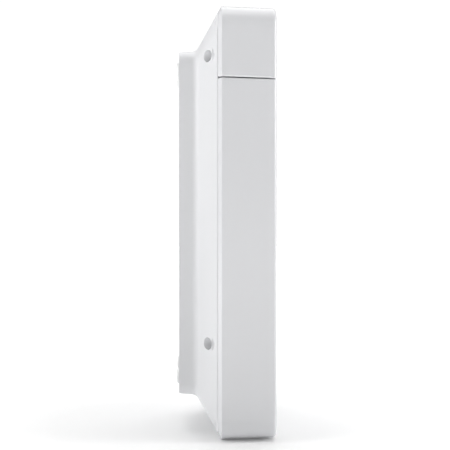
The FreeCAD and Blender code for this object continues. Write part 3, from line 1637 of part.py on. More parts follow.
def ribbon():
    """Flat cable from the camera board to the main board, and the socket at each end."""
    upper = "camera_height - camera_board_height / 2"
    sides = "-socket_length / 2", "socket_length"
    top = block(
        "camera_socket_block",
        sides[0],
        "camera_board_back - socket_height",
        f"{upper} + 1",
        sides[1],
        "socket_height",
        "socket_depth",
    )
    low = "board_top - socket_depth - 1"
    bottom = block(
        "board_socket_block",
        sides[0],
        "board_back - socket_height",
        low,
        sides[1],
        "socket_height",
        "socket_depth",
    )
    keep("camera_socket", top)
    keep("board_socket", bottom)
    body = new_body("flat_cable")
    made = sketch_on(body, "cable_side", "0", "YZ_Plane")
    start = "(board_back - socket_height / 2)"
    end = "(camera_board_back - socket_height / 2)"
    foot, knee = "(board_top - 1)", "(board_top + seam_wall)"
    neck, head = f"({upper} - seam_wall)", f"({upper} + 1)"
    path = [(start, foot), (start, knee), (end, neck), (end, head)]
    near = [(f"-({d}) - ribbon_thick / 2", z) for d, z in path]
    far = [(f"-({d}) + ribbon_thick / 2", z) for d, z in reversed(path)]
    add_outline(made, near + far)
    strip = pad(body, made, "ribbon_width", "cable_strip")
    strip.Midplane = True
    keep("flat_cable", body)


def board_parts():
    """What is soldered to the main board, front and back."""
    back = "board_back"
    shield = plate(
        "processor_shield",
        "shield_size",
        "shield_size",
        "shield_radius",
        f"{back} - shield_height",
        back,
        "0",
        "shield_centre",
    )
    round_edges(shield, "shield_height / 5", at_depth(f"{back} - shield_height"), "shield_round")
    keep("processor_shield", shield)
    radio_z = "board_top - radio_height / 2 - fit_gap"
    radio = plate(
        "radio_module",
        "radio_width",
        "radio_height",
        "fit_gap * 3",
        BOARD_FRONT,
        f"{BOARD_FRONT} + radio_board",
        "0",
        radio_z,
    )
    lid = sketch_on(radio, "radio_lid", f"{BOARD_FRONT} + radio_board")
    add_rounded(lid, "radio_width - 2", "radio_height - 2", "fit_gap * 5", "0", radio_z)
    pad(radio, lid, "radio_thick - radio_board", "radio_can")
    keep("radio_module", radio)
    wall = "body_width / 2 - cover_wall - antenna_thick"
    strip = block(
        "antenna_strip",
        wall,
        "base_depth + tongue_height + 1",
        "-antenna_length / 2",
        "antenna_thick",
        "antenna_width",
        "antenna_length",
    )
    keep("antenna", strip)
    relay = centred_block(
        "relay_case",
        "relay_x",
        f"{back} - relay_tall",
        "relay_z",
        "relay_length",
        "relay_tall",
        "relay_width",
    )
    keep("relay", relay)
    coil = plate(
        "power_coil",
        "coil_size",
        "coil_size",
        "coil_size / 6",
        f"{back} - coil_tall",
        back,
        "coil_x",
        "coil_z",
    )
    drill(
        coil,
        "coil_dish",
        "coil_size * 0.6",
        f"{back} - coil_tall",
        f"{back} - coil_tall * 0.8",
        [("coil_x", "coil_z")],
    )
    keep("power_coil", coil)
    caps = new_body("capacitors")
    spots = [("-can_cap_x", "can_cap_z"), ("-can_cap_x + can_cap_diameter + 1", "can_cap_z")]
    raise_pegs(caps, "capacitor_cans", "can_cap_diameter", f"{back} - can_cap_length", back, spots)
    round_edges(caps, "can_cap_diameter / 12", at_depth(f"{back} - can_cap_length"), "capacitor_round")
    keep("capacitors", caps)
    terminal_block()
    tamper_switch()


def terminal_block():
    """Screw terminals for the bell wires, with one entry and one screw for each."""
    case = plate(
        "terminal_case",
        "terminal_length",
        "terminal_height",
        "fit_gap * 4",
        "board_back - terminal_tall",
        "board_back",
        "0",
        "terminal_centre",
    )
    ways = [f"({n} - 3) * terminal_pitch" for n in range(7)]
    back = "board_back - terminal_tall"
    drill(
        case,
        "screw_wells",
        "terminal_screw + fit_gap * 2",
        back,
        f"{back} + terminal_screw",
        [(x, "terminal_centre") for x in ways],
    )
    entries = [
        upright(
            f"wire_entry_{n}",
            x,
            f"{back} + terminal_screw * 2",
            "terminal_centre - terminal_height / 2 - 1",
            "terminal_entry",
            "terminal_height / 2",
        )
        for n, x in enumerate(ways)
    ]
    keep("terminal_block", cut("terminal_block", case, fuse("wire_entries", entries)))
    heads = new_body("terminal_screws")
    raise_pegs(
        heads,
        "terminal_heads",
        "terminal_screw",
        f"{back} + terminal_screw / 2",
        f"{back} + terminal_screw",
        [(x, "terminal_centre") for x in ways],
    )
    slots = sketch_on(heads, "terminal_slots", f"{back} + terminal_screw / 2")
    for x in ways:
        add_pill(slots, "terminal_screw * 0.8", "terminal_screw * 0.2", x, "terminal_centre")
    pocket(heads, slots, "terminal_screw / 6", "terminal_slot_cuts")
    keep("terminal_screws", heads)


def tamper_switch():
    """Switch on the back of the board and the pin that feels the wall bracket."""
    back = "(board_back - tamper_tall)"
    case = centred_block(
        "tamper_case", "tamper_x", back, "tamper_z", "tamper_body", "tamper_tall", "tamper_body"
    )
    room = peg(
        "tamper_room", "tamper_x", back, "tamper_z", "tamper_rod + 2 * fit_gap", "tamper_rod_length + 1"
    )
    keep("tamper_switch", cut("tamper_switch", case, room))
    step = f"({back} - 1 - fit_gap)"
    tip = "(bracket_plate + tamper_gap)"
    corners = [
        ("0", tip),
        ("tamper_pin / 2 - tamper_chamfer", tip),
        ("tamper_pin / 2", f"{tip} + tamper_chamfer"),
        ("tamper_pin / 2", step),
        ("tamper_rod / 2", step),
        ("tamper_rod / 2", f"{back} + tamper_rod_length - 1"),
        ("0", f"{back} + tamper_rod_length - 1"),
    ]
    keep("tamper_plunger", turned("tamper_plunger", corners, "tamper_x", "tamper_z"))


def build():
    fill_sheet()
    rear_housing()
    housing_gasket()
    upper_cover()
    main_cover()
    wall_bracket()
    wall_pads()
    cable_grommet()
    fasteners()
    camera_window()
    lens()
    lens_holder()
    camera_boards()
    motion_sensor()
    call_button()
    light_ring()
    button_guide()
    button_spring()
    button_switch()
    speaker()
    microphone()
    main_board()
    ribbon()
    board_parts()
    doc.recompute()


def check():
    """Stops before anything is written if a feature failed or a sub-part isn't sound."""
    failed = [o.Name for o in doc.Objects if "Invalid" in o.State or "Error" in o.State]
    unsound = [n for n, o in parts.items() if o.Shape.isNull() or not o.Shape.isValid() or not o.Shape.Solids]
    if failed or unsound:
        raise RuntimeError(f"failed features {failed}, unsound sub-parts {unsound}")


def export():
    os.makedirs("parts", exist_ok=True)
    for node, item in parts.items():
        shape = item.Shape
        shape.exportStep(os.path.join("parts", node + ".step"))
        print(f"{node}: {len(shape.Solids)} solid(s), {shape.Volume:.1f} mm3")


build()
check()
export()
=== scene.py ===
"""Looks of a surface-mounted video doorbell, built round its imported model.

Metres throughout. +Z is up, the front faces -Y and the wall is at +Y. "Depth" is the distance in
front of the wall face, so a depth of 14 mm is y = -0.014.
"""

import json
import math
import random

import bmesh
import bpy
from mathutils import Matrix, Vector


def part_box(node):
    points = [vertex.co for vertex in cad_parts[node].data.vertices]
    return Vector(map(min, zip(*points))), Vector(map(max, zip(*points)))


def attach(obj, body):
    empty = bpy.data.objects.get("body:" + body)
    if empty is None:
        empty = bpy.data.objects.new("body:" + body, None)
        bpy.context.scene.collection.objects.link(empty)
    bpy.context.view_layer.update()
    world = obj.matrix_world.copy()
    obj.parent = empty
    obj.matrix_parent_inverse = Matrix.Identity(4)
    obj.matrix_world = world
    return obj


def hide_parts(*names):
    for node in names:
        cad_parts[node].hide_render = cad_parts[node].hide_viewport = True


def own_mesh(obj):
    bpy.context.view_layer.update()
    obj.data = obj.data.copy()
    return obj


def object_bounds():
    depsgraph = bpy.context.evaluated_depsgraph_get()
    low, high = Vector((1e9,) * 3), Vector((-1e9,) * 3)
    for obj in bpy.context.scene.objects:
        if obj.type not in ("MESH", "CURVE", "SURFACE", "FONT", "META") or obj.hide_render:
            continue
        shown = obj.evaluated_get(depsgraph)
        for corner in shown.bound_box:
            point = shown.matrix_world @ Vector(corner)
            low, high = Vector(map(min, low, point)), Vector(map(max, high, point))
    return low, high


bl_info = {
    "name": "Video Doorbell",
    "version": (1, 0, 0),
    "blender": (4, 5, 0),
    "location": "3D View > Sidebar > Doorbell",
    "description": "Pieces, finishes and stage of a wall-mounted video doorbell",
    "category": "Object",
}

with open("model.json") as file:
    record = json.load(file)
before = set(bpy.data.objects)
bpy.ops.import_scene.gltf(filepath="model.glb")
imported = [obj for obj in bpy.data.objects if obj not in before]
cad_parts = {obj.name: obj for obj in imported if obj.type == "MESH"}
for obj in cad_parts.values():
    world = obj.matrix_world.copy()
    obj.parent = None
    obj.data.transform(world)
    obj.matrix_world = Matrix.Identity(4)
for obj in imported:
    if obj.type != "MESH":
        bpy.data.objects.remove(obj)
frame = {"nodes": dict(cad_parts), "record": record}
NODES = frame["nodes"]
CAD_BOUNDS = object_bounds()
MM = 0.001
HOUSING = "housing"

# Sockets of a Mix node that mixes colours.
COLOUR_A, COLOUR_B, COLOUR_OUT = 6, 7, 2


def length(name, description, default):
    """A property in metres."""
    return bpy.props.FloatProperty(
        name=name, description=description, default=default, subtype="DISTANCE", unit="LENGTH", precision=5
    )


def colour(name, description, default):
    """A linear RGB property."""
    return bpy.props.FloatVectorProperty(
        name=name, description=description, default=default, subtype="COLOR", size=3, min=0.0, max=1.0
    )


class DoorbellSizes(bpy.types.PropertyGroup):
    """Sizes of the new pieces"""

    thread_pitch: length("Thread pitch", "Distance between the ridges of a screw's thread", 0.6 * MM)
    thread_depth: length("Thread depth", "Height of the ridges of a screw's thread", 0.18 * MM)
    socket_width: length("Socket width", "Width over the flats of a screw's socket", 2.0 * MM)
    spring_wire: length("Spring wire", "Diameter of the button spring's wire", 0.7 * MM)
    spring_turns: bpy.props.IntProperty(
        name="Spring turns", description="Coils of the button spring", default=4
    )
    pad_diameter: length("Pad diameter", "Diameter of each wall pad", 6.0 * MM)
    facet_groove: length("Facet groove", "Width of the grooves between the motion lens's facets", 0.12 * MM)
    chip_height: length("Chip height", "Height of the larger chips on the boards", 1.1 * MM)
    button_press: length("Button travel", "How far the call button moves", 0.6 * MM)


class DoorbellStageSettings(bpy.types.PropertyGroup):
    """Floor, camera and lights"""

    floor_size: length("Floor size", "Side of the square floor", 6.0)
    camera_distance: length("Camera distance", "From the near side of the doorbell to the camera", 0.330)
    camera_turn: bpy.props.FloatProperty(
        name="Camera turn",
        description="How far the camera stands towards the back from a square side view",
        default=math.radians(2.5),
        subtype="ANGLE",
        unit="ROTATION",
    )
    camera_lens: bpy.props.FloatProperty(name="Lens", description="Focal length in millimetres", default=74.3)
    top_power: bpy.props.FloatProperty(
        name="Top light", description="Power in watts", default=10.4, unit="POWER"
    )
    front_power: bpy.props.FloatProperty(
        name="Front light", description="Power in watts", default=4.6, unit="POWER"
    )
    back_power: bpy.props.FloatProperty(
        name="Back light", description="Power in watts", default=4.3, unit="POWER"
    )
    fill_power: bpy.props.FloatProperty(
        name="Low fill", description="Power in watts", default=0.10, unit="POWER"
    )


class DoorbellColours(bpy.types.PropertyGroup):
    """Colours of the finishes"""

    cover: colour("Covers", "White of the two front covers", (0.795, 0.80, 0.818))
    rear: colour("Rear housing", "White of the rear housing", (0.795, 0.80, 0.815))
    button: colour("Button", "White of the call button", (0.70, 0.71, 0.72))
    mark: colour("Bell mark", "Colour of the bell mark on the button", (0.09, 0.10, 0.11))
    window: colour("Camera window", "Tint of the window over the camera", (0.006, 0.006, 0.008))
    ring: colour("Light ring", "Opal plastic of the ring round the button", (0.62, 0.68, 0.74))
    motion_lens: colour("Motion lens", "Milky plastic of the motion sensor's lens", (0.74, 0.74, 0.72))
    pads: colour("Wall pads", "Rubber of the pads", (0.86, 0.86, 0.86))
    board: colour("Circuit board", "Solder mask of the main and camera boards", (0.012, 0.13, 0.05))


# Node groups shared by the finishes


def group_with(name, inputs, outputs):
    """An empty shader node group with named sockets, and its two end nodes."""
    tree = bpy.data.node_groups.new(name, "ShaderNodeTree")
    for label, kind, default in inputs:
        socket = tree.interface.new_socket(label, in_out="INPUT", socket_type=kind)
        socket.default_value = default
    for label, kind in outputs:
        tree.interface.new_socket(label, in_out="OUTPUT", socket_type=kind)
    return tree, tree.nodes.new("NodeGroupInput"), tree.nodes.new("NodeGroupOutput")


def add(tree, kind, **settings):
    """A node of a kind; settings are its properties, or its inputs where a name has a leading capital."""
    node = tree.nodes.new(kind)
    for key, value in settings.items():
        if key[0].isupper():
            node.inputs[key.replace("_", " ")].default_value = value
        else:
            setattr(node, key, value)
    return node


def remap(tree, value, low, high, start=0.0, end=1.0):
    """Maps a value from start..end to low..high, held at the ends."""
    node = add(tree, "ShaderNodeMapRange")
    for index, number in enumerate((start, end, low, high), 1):
        node.inputs[index].default_value = number
    tree.links.new(value, node.inputs[0])
    return node.outputs["Result"]


def moulded_group():
    """Fine spark-eroded grain of a moulding, with slow changes of tone and gloss."""
    tree, start, end = group_with(
        "moulded_grain",
        [
            ("Grain Size", "NodeSocketFloat", 2500.0),
            ("Depth", "NodeSocketFloat", 0.1),
            ("Tone", "NodeSocketFloat", 0.03),
            ("Gloss", "NodeSocketFloat", 0.4),
        ],
        [("Tone", "NodeSocketFloat"), ("Roughness", "NodeSocketFloat"), ("Normal", "NodeSocketVector")],
    )
    join = tree.links.new
    place = add(tree, "ShaderNodeTexCoord").outputs["Object"]
    grain = add(tree, "ShaderNodeTexNoise", Detail=3.0, Roughness=0.6)
    join(place, grain.inputs["Vector"])
    join(start.outputs["Grain Size"], grain.inputs["Scale"])
    bump = add(tree, "ShaderNodeBump", Distance=0.00004)
    join(start.outputs["Depth"], bump.inputs["Strength"])
    join(grain.outputs["Fac"], bump.inputs["Height"])
    join(bump.outputs["Normal"], end.inputs["Normal"])
    slow = add(tree, "ShaderNodeTexNoise", Scale=28.0, Detail=2.0)
    join(place, slow.inputs["Vector"])
    drop = add(tree, "ShaderNodeMath", operation="MULTIPLY")
    join(slow.outputs["Fac"], drop.inputs[0])
    join(start.outputs["Tone"], drop.inputs[1])
    tone = add(tree, "ShaderNodeMath", operation="SUBTRACT")
    tone.inputs[0].default_value = 1.0
    join(drop.outputs[0], tone.inputs[1])
    join(tone.outputs[0], end.inputs["Tone"])
    rough = add(tree, "ShaderNodeMath", operation="MULTIPLY_ADD")
    join(grain.outputs["Fac"], rough.inputs[0])
    rough.inputs[1].default_value = 0.12
    join(start.outputs["Gloss"], rough.inputs[2])
    join(rough.outputs[0], end.inputs["Roughness"])
    return tree


def brushed_group():
    """Drawn streaks of rolled or turned metal, with bright edges."""
    tree, start, end = group_with(
        "brushed_metal",
        [
            ("Streaks", "NodeSocketFloat", 900.0),
            ("Depth", "NodeSocketFloat", 0.1),
            ("Gloss", "NodeSocketFloat", 0.3),
        ],
        [("Tone", "NodeSocketFloat"), ("Roughness", "NodeSocketFloat"), ("Normal", "NodeSocketVector")],
    )
    join = tree.links.new
    place = add(tree, "ShaderNodeTexCoord").outputs["Object"]
    stretch = add(tree, "ShaderNodeMapping", Scale=(1.0, 1.0, 0.06))
    join(place, stretch.inputs["Vector"])
    streaks = add(tree, "ShaderNodeTexNoise", Detail=4.0, Roughness=0.65)
    join(stretch.outputs["Vector"], streaks.inputs["Vector"])
    join(start.outputs["Streaks"], streaks.inputs["Scale"])
    bump = add(tree, "ShaderNodeBump", Distance=0.00003)
    join(start.outputs["Depth"], bump.inputs["Strength"])
    join(streaks.outputs["Fac"], bump.inputs["Height"])
    join(bump.outputs["Normal"], end.inputs["Normal"])
    edges = add(tree, "ShaderNodeNewGeometry").outputs["Pointiness"]
    worn = remap(tree, edges, 0.0, 0.25, 0.52, 0.62)
    tone = add(tree, "ShaderNodeMath", operation="ADD")
    join(remap(tree, streaks.outputs["Fac"], 0.72, 1.0, 0.3, 0.7), tone.inputs[0])
    join(worn, tone.inputs[1])
    join(tone.outputs[0], end.inputs["Tone"])
    rough = add(tree, "ShaderNodeMath", operation="MULTIPLY_ADD")
    join(streaks.outputs["Fac"], rough.inputs[0])
    rough.inputs[1].default_value = 0.25
    join(start.outputs["Gloss"], rough.inputs[2])
    join(rough.outputs[0], end.inputs["Roughness"])
    return tree


def weave_group():
    """Plain weave of acoustic cloth in the XZ plane."""
    tree, start, end = group_with(
        "plain_weave",
        [("Threads", "NodeSocketFloat", 2200.0)],
        [("Tone", "NodeSocketFloat"), ("Normal", "NodeSocketVector")],
    )
    join = tree.links.new
    place = add(tree, "ShaderNodeTexCoord").outputs["Object"]
    waves = []
    for direction in ("X", "Z"):
        wave = add(tree, "ShaderNodeTexWave", bands_direction=direction, Distortion=0.3, Detail=1.0)
        join(place, wave.inputs["Vector"])
        join(start.outputs["Threads"], wave.inputs["Scale"])
        waves.append(wave.outputs["Fac"])
    top = add(tree, "ShaderNodeMath", operation="MULTIPLY")
    join(waves[0], top.inputs[0])
    join(waves[1], top.inputs[1])
    bump = add(tree, "ShaderNodeBump", Distance=0.00008, Strength=0.8)
    join(top.outputs[0], bump.inputs["Height"])
    join(bump.outputs["Normal"], end.inputs["Normal"])
    join(remap(tree, top.outputs[0], 0.35, 1.0), end.inputs["Tone"])
    return tree


def dust_group():
    """A little pale dust on what faces up."""
    tree, start, end = group_with(
        "settled_dust", [("Amount", "NodeSocketFloat", 0.1)], [("Mask", "NodeSocketFloat")]
    )
    join = tree.links.new
    up = add(tree, "ShaderNodeSeparateXYZ")
    join(add(tree, "ShaderNodeNewGeometry").outputs["Normal"], up.inputs["Vector"])
    specks = add(tree, "ShaderNodeTexNoise", Scale=600.0, Detail=4.0)
    join(add(tree, "ShaderNodeTexCoord").outputs["Object"], specks.inputs["Vector"])
    both = add(tree, "ShaderNodeMath", operation="MULTIPLY")
    join(remap(tree, up.outputs["Z"], 0.0, 1.0, 0.3, 1.0), both.inputs[0])
    join(remap(tree, specks.outputs["Fac"], 0.0, 1.0, 0.4, 0.8), both.inputs[1])
    mask = add(tree, "ShaderNodeMath", operation="MULTIPLY")
    join(both.outputs[0], mask.inputs[0])
    join(start.outputs["Amount"], mask.inputs[1])
    join(mask.outputs[0], end.inputs["Mask"])
    return tree


GROUPS = {}


def shared(name):
    """A node group by name, built the first time it is asked for."""
    makers = {"moulded": moulded_group, "brushed": brushed_group, "weave": weave_group, "dust": dust_group}
    if name not in GROUPS:
        GROUPS[name] = makers[name]()
    return GROUPS[name]


# Finishes


def new_finish(name):
    """A new material, its nodes and its shader."""
    material = bpy.data.materials.new(name)
    material.use_nodes = True
    return material, material.node_tree, material.node_tree.nodes["Principled BSDF"]


def tint(tree, colour_value, tone, target):
    """Feeds a colour times a tone that changes over the surface."""
    mix = add(tree, "ShaderNodeMix", data_type="RGBA", blend_type="MULTIPLY")
    mix.inputs["Factor"].default_value = 1.0
    mix.inputs[COLOUR_A].default_value = (*colour_value, 1.0)
    tree.links.new(tone, mix.inputs[COLOUR_B])
    tree.links.new(mix.outputs[COLOUR_OUT], target)
    return mix


def use_group(tree, name, **values):
    """A shared group placed in a finish, with its inputs set."""
    node = add(tree, "ShaderNodeGroup", node_tree=shared(name))
    for key, value in values.items():
        node.inputs[key.replace("_", " ")].default_value = value
    return node


def moulded(name, colour_value, gloss=0.4, grain=2500.0, depth=0.1, tone=0.03, dust=0.0):
    """Moulded plastic or rubber."""
    material, tree, shader = new_finish(name)
    grainy = use_group(tree, "moulded", Grain_Size=grain, Depth=depth, Tone=tone, Gloss=gloss)
    mix = tint(tree, colour_value, grainy.outputs["Tone"], shader.inputs["Base Color"])
    tree.links.new(grainy.outputs["Roughness"], shader.inputs["Roughness"])
    tree.links.new(grainy.outputs["Normal"], shader.inputs["Normal"])
    if dust:
        powder = use_group(tree, "dust", Amount=dust)
        over = add(tree, "ShaderNodeMix", data_type="RGBA")
        over.inputs[COLOUR_B].default_value = (0.62, 0.60, 0.56, 1.0)
        tree.links.new(powder.outputs["Mask"], over.inputs["Factor"])
        tree.links.new(mix.outputs[COLOUR_OUT], over.inputs[COLOUR_A])
        tree.links.new(over.outputs[COLOUR_OUT], shader.inputs["Base Color"])
    return material


def metal(name, colour_value, gloss=0.25, streaks=900.0, depth=0.1):
    """Rolled, drawn or turned metal."""
    material, tree, shader = new_finish(name)
    shader.inputs["Metallic"].default_value = 1.0
    drawn = use_group(tree, "brushed", Streaks=streaks, Depth=depth, Gloss=gloss)
    tint(tree, colour_value, drawn.outputs["Tone"], shader.inputs["Base Color"])
    tree.links.new(drawn.outputs["Roughness"], shader.inputs["Roughness"])
    tree.links.new(drawn.outputs["Normal"], shader.inputs["Normal"])
    return material


def clear(name, colour_value, ior=1.49, roughness=0.02):
    """Clear glass or acrylic, with the faintest waviness."""
    material, tree, shader = new_finish(name)
    shader.inputs["Base Color"].default_value = (*colour_value, 1.0)
    shader.inputs["Transmission Weight"].default_value = 1.0
    shader.inputs["Roughness"].default_value = roughness
    shader.inputs["IOR"].default_value = ior
    wavy = use_group(tree, "moulded", Grain_Size=300.0, Depth=0.02, Tone=0.0, Gloss=0.0)
    tree.links.new(wavy.outputs["Normal"], shader.inputs["Normal"])
    return material


def zinc_spangle():
    """Zinc plate with faint crystals."""
    material = metal("zinc_plate", (0.62, 0.63, 0.65), 0.28, 500.0, 0.06)
    tree = material.node_tree
    shader = tree.nodes["Principled BSDF"]
    old = shader.inputs["Base Color"].links[0].from_socket
    cells = add(tree, "ShaderNodeTexVoronoi", Scale=260.0)
    tree.links.new(add(tree, "ShaderNodeTexCoord").outputs["Object"], cells.inputs["Vector"])
    patch = add(tree, "ShaderNodeSeparateColor")
    tree.links.new(cells.outputs["Color"], patch.inputs["Color"])
    shade = remap(tree, patch.outputs["Red"], 0.86, 1.0)
    over = add(tree, "ShaderNodeMix", data_type="RGBA", blend_type="MULTIPLY")
    over.inputs["Factor"].default_value = 1.0
    tree.links.new(old, over.inputs[COLOUR_A])
    tree.links.new(shade, over.inputs[COLOUR_B])
    tree.links.new(over.outputs[COLOUR_OUT], shader.inputs["Base Color"])
    return material


def circuit_board(name, mask, copper):
    """Solder mask with copper tracks showing through, and small plated pads."""
    material, tree, shader = new_finish(name)
    join = tree.links.new
    place = add(tree, "ShaderNodeTexCoord").outputs["Object"]
    turn = add(tree, "ShaderNodeMapping", Rotation=(math.radians(90), 0, 0))
    join(place, turn.inputs["Vector"])
    tracks = add(tree, "ShaderNodeTexBrick", Scale=220.0, Mortar_Size=0.06, Bias=0.0)
    tracks.offset = 0.37
    tracks.squash = 0.6
    join(turn.outputs["Vector"], tracks.inputs["Vector"])
    pads = add(tree, "ShaderNodeTexVoronoi", Scale=330.0)
    join(turn.outputs["Vector"], pads.inputs["Vector"])
    dots = remap(tree, pads.outputs["Distance"], 1.0, 0.0, 0.10, 0.14)
    lines = add(tree, "ShaderNodeMix", data_type="RGBA")
    lines.inputs[COLOUR_A].default_value = (*mask, 1.0)
    lines.inputs[COLOUR_B].default_value = (*copper, 1.0)
    join(remap(tree, tracks.outputs["Fac"], 0.0, 0.55), lines.inputs["Factor"])
    plated = add(tree, "ShaderNodeMix", data_type="RGBA")
    plated.inputs[COLOUR_B].default_value = (0.75, 0.72, 0.62, 1.0)
    join(lines.outputs[COLOUR_OUT], plated.inputs[COLOUR_A])
    join(dots, plated.inputs["Factor"])
    join(plated.outputs[COLOUR_OUT], shader.inputs["Base Color"])
    join(dots, shader.inputs["Metallic"])
    join(remap(tree, dots, 0.32, 0.22), shader.inputs["Roughness"])
    bump = add(tree, "ShaderNodeBump", Distance=0.00005, Strength=0.6)
    join(tracks.outputs["Fac"], bump.inputs["Height"])
    join(bump.outputs["Normal"], shader.inputs["Normal"])
    return material


def ribbon_film():
    """Amber film with the copper lines of a flat cable."""
    material, tree, shader = new_finish("ribbon_film")
    join = tree.links.new
    lines = add(tree, "ShaderNodeTexWave", bands_direction="X", Scale=320.0, Distortion=0.0)
    join(add(tree, "ShaderNodeTexCoord").outputs["Object"], lines.inputs["Vector"])
    mix = add(tree, "ShaderNodeMix", data_type="RGBA")
    mix.inputs[COLOUR_A].default_value = (0.62, 0.30, 0.06, 1.0)
    mix.inputs[COLOUR_B].default_value = (0.80, 0.52, 0.20, 1.0)
    join(lines.outputs["Fac"], mix.inputs["Factor"])
    join(mix.outputs[COLOUR_OUT], shader.inputs["Base Color"])
    join(remap(tree, lines.outputs["Fac"], 0.22, 0.34), shader.inputs["Roughness"])
    return material


def acoustic_cloth():
    """Black woven cloth behind the grille."""
    material, tree, shader = new_finish("acoustic_cloth")
    threads = use_group(tree, "weave", Threads=2200.0)
    tint(tree, (0.035, 0.035, 0.037), threads.outputs["Tone"], shader.inputs["Base Color"])
    tree.links.new(threads.outputs["Normal"], shader.inputs["Normal"])
    shader.inputs["Roughness"].default_value = 0.85
    return material


def lens_painted_reflection():
    """Glass whose anti-reflection coating shows as a painted reflection: its violet and green tint is put in
    the base colour and follows the surface's curve.
    """
    material, tree, shader = new_finish("lens_painted_reflection")
    shader.inputs["Roughness"].default_value = 0.03
    shader.inputs["IOR"].default_value = 1.6
    shader.inputs["Coat Weight"].default_value = 1.0
    shader.inputs["Coat Roughness"].default_value = 0.02
    # Painted reflection: the base colour goes from near black where the surface faces straight to the front,
    # through green, to violet where it turns about 40 degrees away.
    facing = add(tree, "ShaderNodeSeparateXYZ")
    tree.links.new(add(tree, "ShaderNodeTexCoord").outputs["Normal"], facing.inputs["Vector"])
    ramp = add(tree, "ShaderNodeValToRGB")
    ramp.color_ramp.elements[0].color = (0.004, 0.004, 0.010, 1.0)
    ramp.color_ramp.elements[1].color = (0.05, 0.02, 0.10, 1.0)
    middle = ramp.color_ramp.elements.new(0.45)
    middle.color = (0.01, 0.035, 0.04, 1.0)
    tree.links.new(remap(tree, facing.outputs["Y"], 0.0, 1.0, -1.0, -0.75), ramp.inputs["Fac"])
    tree.links.new(ramp.outputs["Color"], shader.inputs["Base Color"])
    return material


def dark_window(colour_value):
    """Infra-red window: nearly black and polished."""
    material = moulded("dark_window", colour_value, 0.03, 900.0, 0.01, 0.2, dust=0.05)
    material.node_tree.nodes["Principled BSDF"].inputs["IOR"].default_value = 1.46
    return material


def translucent(name, colour_value, gloss, depth_mm, grain=1200.0):
    """Milky or opal plastic that light soaks into."""
    material = moulded(name, colour_value, gloss, grain, 0.04, 0.02)
    shader = material.node_tree.nodes["Principled BSDF"]
    shader.inputs["Subsurface Weight"].default_value = 0.5
    shader.inputs["Subsurface Radius"].default_value = (depth_mm * MM, depth_mm * MM, depth_mm * MM)
    shader.inputs["Subsurface Scale"].default_value = 1.0
    return material


def finishes(colours):
    """One finish for each material slot of the record."""
    return {
        "white_cover": moulded("white_cover", colours.cover, 0.17, 2600.0, 0.10, 0.02, dust=0.05),
        "white_rear": moulded("white_rear", colours.rear, 0.34, 2600.0, 0.12, 0.03, dust=0.05),
        "white_button": moulded("white_button", colours.button, 0.20, 2200.0, 0.04, 0.02),
        "grey_rubber": moulded("grey_rubber", (0.42, 0.42, 0.43), 0.62, 1800.0, 0.30, 0.10),
        "pale_rubber": translucent("pale_rubber", colours.pads, 0.40, 1.5, 1800.0),
        "black_rubber": moulded("black_rubber", (0.022, 0.022, 0.023), 0.55, 1800.0, 0.35, 0.25, dust=0.25),
        "clear_rubber": translucent("clear_rubber", (0.62, 0.62, 0.58), 0.35, 1.5),
        "zinc_steel": zinc_spangle(),
        "screw_steel": metal("screw_steel", (0.56, 0.56, 0.57), 0.22, 1600.0),
        "spring_steel": metal("spring_steel", (0.50, 0.50, 0.52), 0.20, 2400.0),
        "tinned_steel": metal("tinned_steel", (0.70, 0.70, 0.70), 0.30, 700.0),
        "can_metal": metal("can_metal", (0.72, 0.70, 0.66), 0.18, 1200.0, 0.05),
        "brass": metal("brass", (0.80, 0.58, 0.25), 0.20, 1500.0),
        "dark_window": dark_window(colours.window),
        "clear_glass": clear("clear_glass", (0.97, 0.98, 0.99)),
        "sensor_glass": lens_painted_reflection(),
        "black_plastic": moulded("black_plastic", (0.018, 0.018, 0.019), 0.42, 2400.0, 0.20, 0.2),
        "grey_plastic": moulded("grey_plastic", (0.24, 0.24, 0.25), 0.40, 2400.0, 0.15, 0.08),
        "red_plastic": moulded("red_plastic", (0.42, 0.02, 0.015), 0.35, 2400.0, 0.10, 0.08),
        "green_plastic": moulded("green_plastic", (0.03, 0.22, 0.06), 0.38, 2200.0, 0.15, 0.12),
        "relay_case": moulded("relay_case", (0.02, 0.06, 0.26), 0.28, 2200.0, 0.08, 0.10),
        "circuit_board": circuit_board("circuit_board", colours.board, (0.05, 0.26, 0.09)),
        "circuit_board_black": circuit_board(
            "circuit_board_black", (0.010, 0.010, 0.011), (0.035, 0.035, 0.03)
        ),
        "socket_plastic": moulded("socket_plastic", (0.60, 0.54, 0.40), 0.35, 2400.0, 0.10, 0.06),
        "ribbon_film": ribbon_film(),
        "led_clear": translucent("led_clear", (0.70, 0.70, 0.58), 0.08, 0.8),
        "milky_lens": translucent("milky_lens", colours.motion_lens, 0.22, 2.0),
        "dark_print": moulded("dark_print", colours.mark, 0.30, 2600.0, 0.05, 0.1),
        "diffuser": translucent("diffuser", colours.ring, 0.24, 2.5),
        "black_cloth": acoustic_cloth(),
        "black_foam": moulded("black_foam", (0.03, 0.03, 0.03), 0.80, 5000.0, 0.90, 0.4),
        "cone_film": moulded("cone_film", (0.03, 0.03, 0.033), 0.30, 900.0, 0.10, 0.2),
        "ferrite": moulded("ferrite", (0.05, 0.05, 0.052), 0.50, 3000.0, 0.35, 0.3),
        "capacitor_can": metal("capacitor_can", (0.66, 0.66, 0.67), 0.24, 1800.0, 0.04),
    }


FINISHES = {}


class DOORBELL_OT_finishes(bpy.types.Operator):
    """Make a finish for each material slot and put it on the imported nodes"""

    bl_idname = "doorbell.finishes"
    bl_label = "Finishes"

    def execute(self, context):
        FINISHES.update(finishes(context.scene.doorbell_colours))
        for row in frame["record"]["subparts"]:
            for held in NODES[row["node"]].material_slots:
                held.material = FINISHES[row["material_slot"]]
        return {"FINISHED"}


# Modelling helpers


def clean_start():
    """Object mode, with nothing selected."""
    if bpy.context.mode != "OBJECT":
        bpy.ops.object.mode_set(mode="OBJECT")
    bpy.ops.object.select_all(action="DESELECT")


